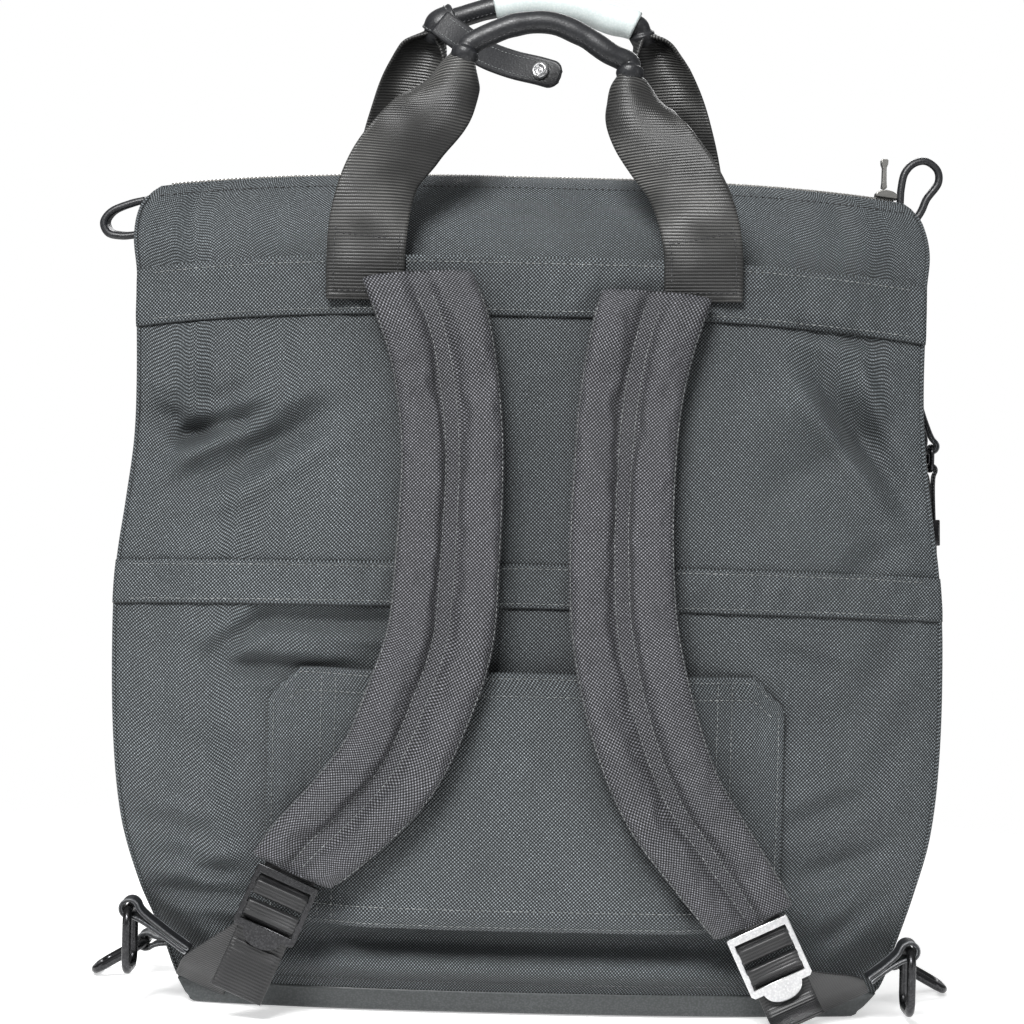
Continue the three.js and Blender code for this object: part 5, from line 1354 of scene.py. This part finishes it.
# across, up, wide, thick, arch
PADS = {
    "left": [(-0.276, 0.869, 1.04, 0.62, 0), (-0.222, 0.8, 1, 0.9, 0.25), (-0.195, 0.731, 0.97, 1, 0.6),
             (-0.182, 0.663, 0.96, 1, 0.85), (-0.187, 0.536, 0.98, 1, 1), (-0.2, 0.444, 1, 1, 0.9),
             (-0.246, 0.369, 1, 1, 0.72), (-0.306, 0.3, 0.96, 1, 0.6), (-0.394, 0.245, 0.9, 0.95, 0.5),
             (-0.478, 0.202, 0.84, 0.8, 0.42), (-0.526, 0.1735, 0.8, 0.62, 0.36)],
    "right": [(0.28, 0.852, 1.04, 0.62, 0), (0.249, 0.8, 1, 0.9, 0.25), (0.223, 0.725, 0.97, 1, 0.6),
              (0.211, 0.633, 0.96, 1, 0.85), (0.209, 0.541, 0.98, 1, 1), (0.222, 0.45, 1, 1, 0.9),
              (0.27, 0.347, 1, 1, 0.72), (0.335, 0.267, 0.96, 1, 0.6), (0.42, 0.205, 0.9, 0.95, 0.5),
              (0.492, 0.155, 0.84, 0.8, 0.42), (0.531, 0.1255, 0.8, 0.62, 0.36)],
}
TILTS = {"left": (-1, 23), "right": (1, 25.5)}


def pad_seat(x, z):
    inner = x - math.copysign(PAD_WIDE / 2, x)
    behind = float(body_depth(-1, inner, min(z, SEWN), 0))
    over_band = BAND_STAND + BAND + TOP_LIFT + CLEAR + WEB_THICK + CLEAR
    over_body = BAND_STAND + BAND + CLEAR
    over_sleeve = SLEEVE_STAND + SLEEVE_SPACE + SLEEVE_THICK + CLEAR
    at_top = float(smoothstep(z, TOP_LOW - 30, TOP_LOW - 4))
    at_sleeve = 1 - float(smoothstep(z, SLEEVE_HIGH + 4, SLEEVE_HIGH + 30))
    return behind + max(over_body + (over_band - over_body) * at_top, over_sleeve * at_sleeve)


PAD_TOP, PAD_UNDER = 38, 16


def pad_outline(top=PAD_TOP, under=PAD_UNDER):
    s = np.linspace(-1, 1, top)
    lobe = np.sqrt(np.maximum(1 - np.abs((np.abs(s) - 0.585) / 0.42) ** 2.6, 0))
    high = np.where(np.abs(s) < 0.5, np.maximum(0.4, 0.22 + 0.78 * lobe), 0.22 + 0.78 * lobe)
    back = np.linspace(0.97, -0.97, under)
    return np.concatenate([s, back]), np.concatenate([high, np.where(np.abs(back) > 0.9, 0.07, 0)])


PAD_S, PAD_HIGH = pad_outline()
print("pad outline of", len(PAD_S), "points")

# %% Rings of a pad
def plate_ways(side):
    hand, tilt = TILTS[side]
    tilt = math.radians(tilt)
    down = np.array([hand * math.sin(tilt), 0, -math.cos(tilt)])
    out = np.array([0, -1.0, 0])
    return down, out, np.cross(down, out)


def pad_rings(side, count=100):
    rows = PADS[side]
    places = []
    for across, up, wide, thick, arch in rows:
        x, z = across * WIDTH / 2, up * HEIGHT
        places.append((x, -pad_seat(x, z) - arch * PAD_ARCH, z))
    shares = np.linspace(0, 1, count)
    line = curve_points(places, shares)
    read = table_reader([(i / (len(rows) - 1), r[2], r[3]) for i, r in enumerate(rows)])
    wide, thick = read(shares).T
    way = tangents(line)
    over = unit(np.stack([way[:, 2], way[:, 0] * 0, -way[:, 0]], axis=1))
    level = (1 - smoothstep(shares, 0, 0.12))[:, None] * 0.8
    over = over + (np.array([-1.0, 0, 0]) - over) * level
    over = unit(over + (plate_ways(side)[2] - over) * smoothstep(shares, 0.88, 1)[:, None])
    blunt = smoothstep(shares, -0.004, 0.02) * smoothstep(1 - shares, -0.004, 0.02)
    high = PAD_HIGH[None, :] * (thick * (0.55 + 0.45 * blunt) * PAD_THICK)[:, None]
    grid = line[:, None] + over[:, None] * (PAD_S[None, :, None] * (wide * PAD_WIDE / 2)[:, None, None])
    grid[..., 1] -= high
    place = np.stack(np.broadcast_arrays(PAD_S[None, :] * PAD_WIDE / 2, line_run(line)[:, None]), axis=-1)
    return grid, place

# %% Blow the cover up
def inflate(item, pinned, frames=18, limit=2.2):
    start = np.array([v.co[:] for v in item.data.vertices])
    group = item.vertex_groups.new(name="sewn")
    group.add(pinned, 1.0, "REPLACE")
    cloth = item.modifiers.new("cloth", "CLOTH")
    cloth.settings.quality = 6
    cloth.settings.mass = 0.25
    cloth.settings.use_pressure = True
    cloth.settings.uniform_pressure_force = 4
    cloth.settings.shrink_min = -0.015
    cloth.settings.vertex_group_mass = "sewn"
    cloth.settings.effector_weights.gravity = 0
    cloth.point_cache.frame_start = 1
    cloth.point_cache.frame_end = frames
    scene = bpy.context.scene
    for number in range(1, frames + 1):
        scene.frame_set(number)
    result = item.evaluated_get(bpy.context.evaluated_depsgraph_get()).to_mesh()
    moved = np.array([v.co[:] for v in result.vertices]) - start
    item.modifiers.remove(cloth)
    item.vertex_groups.clear()
    scene.frame_set(1)
    far = np.linalg.norm(moved, axis=1, keepdims=True)
    most = float(far.max()) / MM
    moved = moved * np.minimum(1, limit * MM / np.maximum(far, 1e-9))
    final = start + moved
    item.data.vertices.foreach_set("co", final.ravel())
    item.data.update()
    print(item.name, "moved at most", round(most, 2), "mm, kept to", limit)
    return final / MM

# %% Make the pads
pad_lines = []
for side in ("left", "right"):
    grid, place = pad_rings(side)
    count, around = grid.shape[:2]
    slack = ripples(place[..., 0] * 0.55, place[..., 1] * 1.3, QUICK) * 0.16
    lower = 1 + 1.8 * smoothstep(np.linspace(0, 1, count), 0.62, 0.85)[:, None]
    lobes = np.clip((PAD_HIGH - 0.4) / 0.6, 0, 1)[None, :]
    grid[..., 1] -= slack * lower * lobes
    points = np.concatenate([grid.reshape(-1, 3), [grid[0].mean(axis=0), grid[-1].mean(axis=0)]])
    places = np.concatenate([place.reshape(-1, 2), [place[0].mean(axis=0), place[-1].mean(axis=0)]])
    mesh = outwards(make_mesh("pad " + side, points, capped_faces(count, around), pad_cloth, places))
    item = link(mesh, "pad " + side, "bag", "pad_" + side, slot="pad_cloth")
    sewn = (np.abs(PAD_S) < 0.18) | (PAD_HIGH < 0.1) | (np.abs(PAD_S) > 0.9)
    ring = np.arange(count)[:, None]
    held = sewn[None, :] | (ring < 2) | (ring > count - 3)
    pinned = np.flatnonzero(held).tolist()
    points = inflate(item, pinned)
    subdivide = item.modifiers.new("subdivide", "SUBSURF")
    subdivide.levels = subdivide.render_levels = 1
    final = points[:count * around].reshape(count, around, 3)
    normal = -normals_of(final)
    if normal[count // 2, 8, 1] > 0:
        normal = -normal
    for s in (-0.95, -0.16, 0.16, 0.95):
        j = int(np.argmin(np.abs(PAD_S[:PAD_TOP] - s)))
        pad_lines.append(((final[:, j] + normal[:, j] * 0.25)[4:-3], normal[4:-3, j]))
stitch_rows("pad stitches", pad_lines, 2.7, 0.45, thread)

# %% [markdown]
# ## Buckles and straps
# A ladder buckle is a flat plate with three slots. One strap loops round its upper bar and belongs to the
# pad; the adjusting strap climbs behind the plate, turns over the lower bar and falls as a tail. The route
# is drawn in the plate's own directions: down the plate, and out from it.

# %% Buckle sizes and route pieces
STRAP, STRAP_THICK, PLATE = 25, 1.2, 2.6
SLOTS = [(4, 4), (12.5, 6), (23, 4)]
BAR_ONE, SLOT_TWO, BAR_TWO, SLOT_THREE, LOW_EDGE, PLATE_LONG, TAB = 8, 12.5, 18.5, 23, 27, 31, 6.5
BAR = 4.5
OVER = PLATE / 2 + CLEAR + STRAP_THICK / 2
LAYER = STRAP_THICK + CLEAR


def round_corner(edge, level, away):
    room = STRAP_THICK / 2 + CLEAR
    height = level * PLATE / 2
    points = [(edge + away * room * 0.35, height + level * room * 1.05),
              (edge + away * room * 1.05, height + level * room * 0.35)]
    return points if away * level > 0 else points[::-1]


def plate_start(side):
    across, up, _, _, arch = PADS[side][-1]
    x, z = across * WIDTH / 2, up * HEIGHT
    return np.array([x, -pad_seat(x, z) - arch * PAD_ARCH - PLATE, z]) + plate_ways(side)[0] * 2


def on_plate(side, pairs):
    down, out, _ = plate_ways(side)
    return [plate_start(side) + down * a + out * o for a, o in pairs]


def plate_outlines():
    half = STRAP / 2 + CLEAR * 2
    wide = half + 2.6
    tab_root, tab_side, tab_foot = half * 0.75, half * 0.62, PLATE_LONG + TAB
    outside = [(-wide, 0.6), (-wide + 0.6, 0), (wide - 0.6, 0), (wide, 0.6), (wide, PLATE_LONG - 1.5),
               (wide - 1.5, PLATE_LONG), (tab_root, PLATE_LONG)]
    outside += bend_points((tab_root, PLATE_LONG), (tab_side, tab_foot), (0, tab_foot), 12)[1:]
    outside += bend_points((0, tab_foot), (-tab_side, tab_foot), (-tab_root, PLATE_LONG), 12)[1:]
    outside += [(1.5 - wide, PLATE_LONG), (-wide, PLATE_LONG - 1.5)]
    holes = [[(-half, a), (-half, a + h), (half, a + h), (half, a)] for a, h in SLOTS]
    return [outside, *holes]


print("buckle sizes ready")

# %% Buckles, loops and adjusting straps
ROOTS = {"left": (-0.775, [(0.07, 0.052, 14), (0.37, 0.036, 7), (0.52, 0.024, 2)]),
         "right": (0.815, [(-0.3, 0.042, 12), (0, 0.03, 5), (0.15, 0.02, 1)])}
TAILS = {"left": [(36, -0.6), (48, 0.4), (62, 1.2)], "right": [(38.5, -0.3), (43, 3), (45.7, 10), (46.2, 19)]}
strap_lengths = {}
for side in ("left", "right"):
    hand = TILTS[side][0]
    down, out, across = plate_ways(side)
    metal, metal_slot = (gunmetal, "dark_metal") if side == "left" else (steel, "bright_metal")
    plate = plate_mesh("buckle " + side, plate_outlines(), PLATE, 0.45, metal)
    placed(plate, plate_start(side), across, down)
    link(plate, "buckle " + side, "bag", "buckle_" + side, slot=metal_slot)
    route = [(-1.4, -OVER), (3.2, -OVER), *round_corner(4, -1, 1), (6.4, 0), *round_corner(BAR_ONE, 1, -1),
             (BAR_ONE + BAR / 2, OVER), *round_corner(SLOT_TWO, 1, 1), (SLOT_TWO + 1, 0),
             *round_corner(SLOT_TWO, -1, 1), (BAR_ONE + BAR / 2, -OVER - LAYER), (4, -OVER - LAYER),
             (-1.4, -OVER - LAYER)]
    loop = strap_grid(curve_points(on_plate(side, route), np.linspace(0, 1, 130)), STRAP, across=across)
    ribbon("buckle_loop_" + side, loop, STRAP_THICK, strap_web, "webbing")
    root_at, roots = ROOTS[side]
    places = []
    for overhang, up, stand in reversed(roots):
        x = root_at * WIDTH / 2 + hand * (overhang * 14 - STRAP / 2)
        z = up * HEIGHT
        places.append((x, -float(body_depth(-1, x, z, 0)) - CLEAR - STRAP_THICK / 2 - stand, z))
    behind = -OVER - LAYER * 1.2
    climb = [(LOW_EDGE, behind), (BAR_TWO + 2, behind), (BAR_TWO - 0.9, -OVER - 0.9),
             round_corner(BAR_TWO, -1, -1)[1], (BAR_TWO - 1, 0), *round_corner(BAR_TWO, 1, -1),
             (BAR_TWO + BAR / 2, OVER), *round_corner(SLOT_THREE, 1, 1), (SLOT_THREE + 2, 0),
             *round_corner(LOW_EDGE, -1, -1)[::-1], (PLATE_LONG - 1, -OVER)]
    climb += [(a, o - OVER) for a, o in TAILS[side]]
    line = curve_points([*places, *on_plate(side, climb)], np.linspace(0, 1, 260))
    strap = strap_grid(line, STRAP, across=across)
    strap_lengths[side] = round(float(line_run(line)[-1]))
    ribbon("adjuster_" + side, strap, STRAP_THICK, strap_web, "webbing")
    hem = strap[-26:-1]
    fold = hem + normals_of(hem) * 0.9 * (1 if normals_of(hem)[5, 5, 1] < 0 else -1)
    link(shell("strap hem " + side, fold, 0.9, strap_web), "strap hem " + side, "bag", slot="webbing")
print("adjusting straps of", strap_lengths, "mm")

# %% [markdown]
# ## Corners
# Each lower corner has a leather loop with a wire ring. The leather is folded round the ring, so both
# layers lie against each other, and its cut edges are polished. The rings can swing, so each rides on its
# own moving body.

# %% Folded loops and wire rings
def folded_line(root, eye, y, thickness, wire, spread, steps=110):
    root, eye = np.asarray(root, float), np.asarray(eye, float)
    away = np.array([eye[0] - root[0], 0, eye[1] - root[1]])
    length = float(np.linalg.norm(away))
    away = away / length
    over = np.array([-away[2], 0, away[0]])
    start = np.array([root[0], y, root[1]])
    radius = wire + 1 + thickness / 2
    neck = thickness / 2 + spread
    pairs = [(0, neck), (length * 0.45, neck), (length - radius * 1.2, neck + radius * 0.25)]
    for angle in np.linspace(0.62, -0.62, 9) * math.pi:
        pairs.append((length + radius * math.cos(angle), radius * math.sin(angle)))
    pairs += [(length - radius * 1.2, -neck - radius * 0.25), (length * 0.45, -neck), (0, -neck)]
    return curve_points([start + away * a + over * o for a, o in pairs], np.linspace(0, 1, steps))


def wire_ring(node, body, width, height, bend, wire, origin, turn=0, sides=16):
    w = width / 2
    path = []
    centres = [(w - bend, -bend, 90), (w - bend, -height + bend, 0), (-w + bend, -height + bend, -90),
               (-w + bend, -bend, -180)]
    for cy, cz, first in centres:
        for angle in np.radians(np.linspace(first, first - 90, 12)):
            path.append((cy + bend * math.cos(angle), cz + bend * math.sin(angle)))
    path = np.array(path)
    ahead, behind = np.roll(path, -1, axis=0), np.roll(path, 1, axis=0)
    way = (ahead - behind) / np.linalg.norm(ahead - behind, axis=1, keepdims=True)
    out = np.stack([np.zeros(len(path)), -way[:, 1], way[:, 0]], axis=1)
    line = np.stack([np.zeros(len(path)), path[:, 0], path[:, 1]], axis=1)
    angle = np.linspace(0, 2 * math.pi, sides, endpoint=False)
    grid = line[:, None] + (out[:, None] * np.cos(angle)[None, :, None]
                            + np.array([1.0, 0, 0]) * np.sin(angle)[None, :, None]) * wire
    x = grid[..., 0] * math.cos(turn) + grid[..., 2] * math.sin(turn)
    z = -grid[..., 0] * math.sin(turn) + grid[..., 2] * math.cos(turn)
    grid = np.stack([x, grid[..., 1], z], axis=-1) + np.asarray(origin, float)
    closed = np.concatenate([grid, grid[:1]])
    faces = grid_faces(len(closed), sides, around=True) % (len(grid) * sides)
    name = node.replace("_", " ")
    mesh = outwards(make_mesh(name, grid.reshape(-1, 3), faces, gunmetal))
    link(mesh, name, body, node, slot="dark_metal")


RING_WIDE, RING_HIGH, RING_BEND, RING_WIRE = 25, 29.6, 7, 2.2
LEATHER, LOOP_WIDE, SIDE_WIDE = 1.8, 14, 8
# hand, side, beside, root across, root up, eye across, eye up, lying
CORNERS = {"back_left": (-1, -1, -0.084, -0.775, 0.067, -0.912, 0.116, False),
           "back_right": (1, -1, 0.022, 0.815, 0.052, 0.906, 0.087, False),
           "front_left": (-1, 1, -0.128, -0.79, 0.044, -0.928, 0.043, True),
           "front_right": (1, 1, -0.15, 0.83, 0.044, 0.93, 0.041, True)}
for corner, (hand, side, beside, root_x, root_z, eye_x, eye_z, lying) in CORNERS.items():
    seam = float(section(np.array(eye_z))[4]) * DEPTH / 2
    y = side * (seam + RING_WIDE * (0.5 + beside) + RING_WIRE)
    root = (root_x * WIDTH / 2, root_z * HEIGHT)
    eye = (eye_x * WIDTH / 2, eye_z * HEIGHT)
    line = folded_line(root, eye, y, LEATHER, RING_WIRE, CLEAR / 2)
    grid = strap_grid(line, LOOP_WIDE, across=(0, 1, 0), columns=12)
    ribbon("corner_loop_" + corner, grid, LEATHER, leather, "leather")
    edge_tubes("corner loop " + corner.replace("_", " "), grid, LEATHER, edge_paint, "leather")
    lean = math.asin(min((eye[1] - RING_WIRE - 0.6) / RING_HIGH, 1))
    turn = -hand * (math.pi / 2 - lean) if lying else 0
    wire_ring("corner_ring_" + corner, corner + "_ring", RING_WIDE, RING_HIGH, RING_BEND, RING_WIRE,
              (eye[0], y, eye[1]), turn)
print("corner hardware made")

# %% [markdown]
# The small loops at the ends of the ridge and the adjuster on the right side are made with the same two
# helpers.

# %% Ridge loops
RIDGE_FOOT = HEIGHT * (1 - ROOF_DROOP)
END_LOOP, END_THICK, END_PAINT, END_STAND = 18, 3.6, 3.2, 1.4
# hand, height, and the loop's points: out from the gusset and up, as shares of its size
ENDS = {"left": (-1, RIDGE_FOOT - 15.7, [(0, 0.52), (0.32, 0.42), (0.78, 0.16), (0.92, -0.14), (0.78, -0.42),
                                         (0.4, -0.5), (0, -0.46)]),
        "right": (1, RIDGE_FOOT - 0.7, [(-0.12, 0.08), (-0.1, 0.5), (0, 0.95), (0.25, 1.22), (0.58, 1.28),
                                        (0.9, 1.04), (0.94, 0.7), (0.62, 0.22), (0.3, -0.1), (0, -0.32)])}
for side, (hand, height, rows) in ENDS.items():
    points = []
    for out, up in rows:
        z = height + up * END_LOOP
        face = float(gusset_point(hand, 0, min(z / HEIGHT + 0.02, 1))[0])
        points.append((face + hand * (CLEAR + END_STAND + out * END_LOOP), 0, z))
    line = curve_points(points, np.linspace(0, 1, 90))
    grid = strap_grid(line, SIDE_WIDE, across=(0.12, 1, 0.16), columns=8)
    ribbon("end_loop_" + side, grid, END_THICK, leather, "leather")
    edge_tubes("end loop " + side, grid, END_PAINT, edge_paint, "leather")
print("ridge loops made")

# %% Side adjuster
def side_face(z):
    droop = float(section(np.array(z / HEIGHT))[5])
    return float(gusset_point(1, 0, z / HEIGHT + droop)[0]) + CLEAR


SIDE_TOP, SIDE_EYE, SIDE_FOOT = ROOF - 44, ROOF - 67, ROOF - 150
SIDE_WIRE, SIDE_RING, SIDE_BEND, SIDE_STRAP, RING_STAND = 1.2, 12, 4, 1.2, 4.5
ring_x = side_face(SIDE_EYE) + SIDE_WIRE + 1 + LEATHER + RING_STAND
root = (side_face(SIDE_TOP) + LEATHER + CLEAR, SIDE_TOP)
line = folded_line(root, (ring_x, SIDE_EYE), 0, LEATHER, SIDE_WIRE, CLEAR / 2)
grid = strap_grid(line, SIDE_WIDE, across=(0, 1, 0), columns=8)
ribbon("side_loop", grid, LEATHER, leather, "leather")
edge_tubes("side loop", grid, LEATHER, edge_paint, "leather")
wire_ring("side_ring", "bag", SIDE_RING, SIDE_RING, SIDE_BEND, SIDE_WIRE, (ring_x, 0, SIDE_EYE))
strap_eye = np.array([ring_x, SIDE_EYE - SIDE_RING])
strap_foot = np.array([side_face(SIDE_FOOT) + SIDE_STRAP * 2 + 0.5, SIDE_FOOT])
line = folded_line(strap_foot, strap_eye, 0, SIDE_STRAP, SIDE_WIRE, CLEAR)
grid = strap_grid(line, SIDE_WIDE, across=(0, 1, 0), columns=10)
ribbon("side_strap", grid, SIDE_STRAP, strap_web, "webbing")


def keeper(node, low, high, near, far, thick, material, slot, around=32):
    # A flat band round both layers of the strap, drawn as rings from one end to the other.
    way = unit(strap_eye - strap_foot)
    along = np.array([way[0], 0, way[1]])
    out = np.array([way[1], 0, -way[0]])
    foot = np.array([strap_foot[0], 0, strap_foot[1]])
    angle = np.linspace(0, 2 * math.pi, around, endpoint=False) + math.pi / around
    squircle = np.stack([np.sign(np.cos(angle)) * np.abs(np.cos(angle)) ** 0.3,
                         np.sign(np.sin(angle)) * np.abs(np.sin(angle)) ** 0.3], axis=1)
    rings = []
    steps = [(low, 0), (low, 0.8), (low + 0.5, 1), ((low + high) / 2, 1), (high - 0.5, 1), (high, 0.8),
             (high, 0)]
    for step, wall in steps:
        depth = near + (far - near) * (step - low) / (high - low) + thick * wall
        wide = SIDE_WIDE / 2 + 0.5 + thick * wall
        beside = np.array([0, 1.0, 0]) * squircle[:, 1:] * wide
        rings.append(foot + along * step + out * (squircle[:, :1] * depth) + beside)
    faces = grid_faces(len(rings) + 1, around, around=True) % (len(rings) * around)
    name = node.replace("_", " ")
    mesh = outwards(make_mesh(name, np.array(rings).reshape(-1, 3), faces, material))
    link(mesh, name, "bag", node, slot=slot)


keeper("side_slider", 33, 46, 2.0, 2.4, 1.2, gunmetal, "dark_metal")
keeper("side_anchor", -2, 10, 1.8, 1.8, 0.9, leather, "leather")
print("side adjuster made")

# %% [markdown]
# ## Finish
# The looks have to stay where the solid model is.
# The looks have to stay where the solid model is. Both boxes are written down, so they can be compared.

# %% Sizes
import json
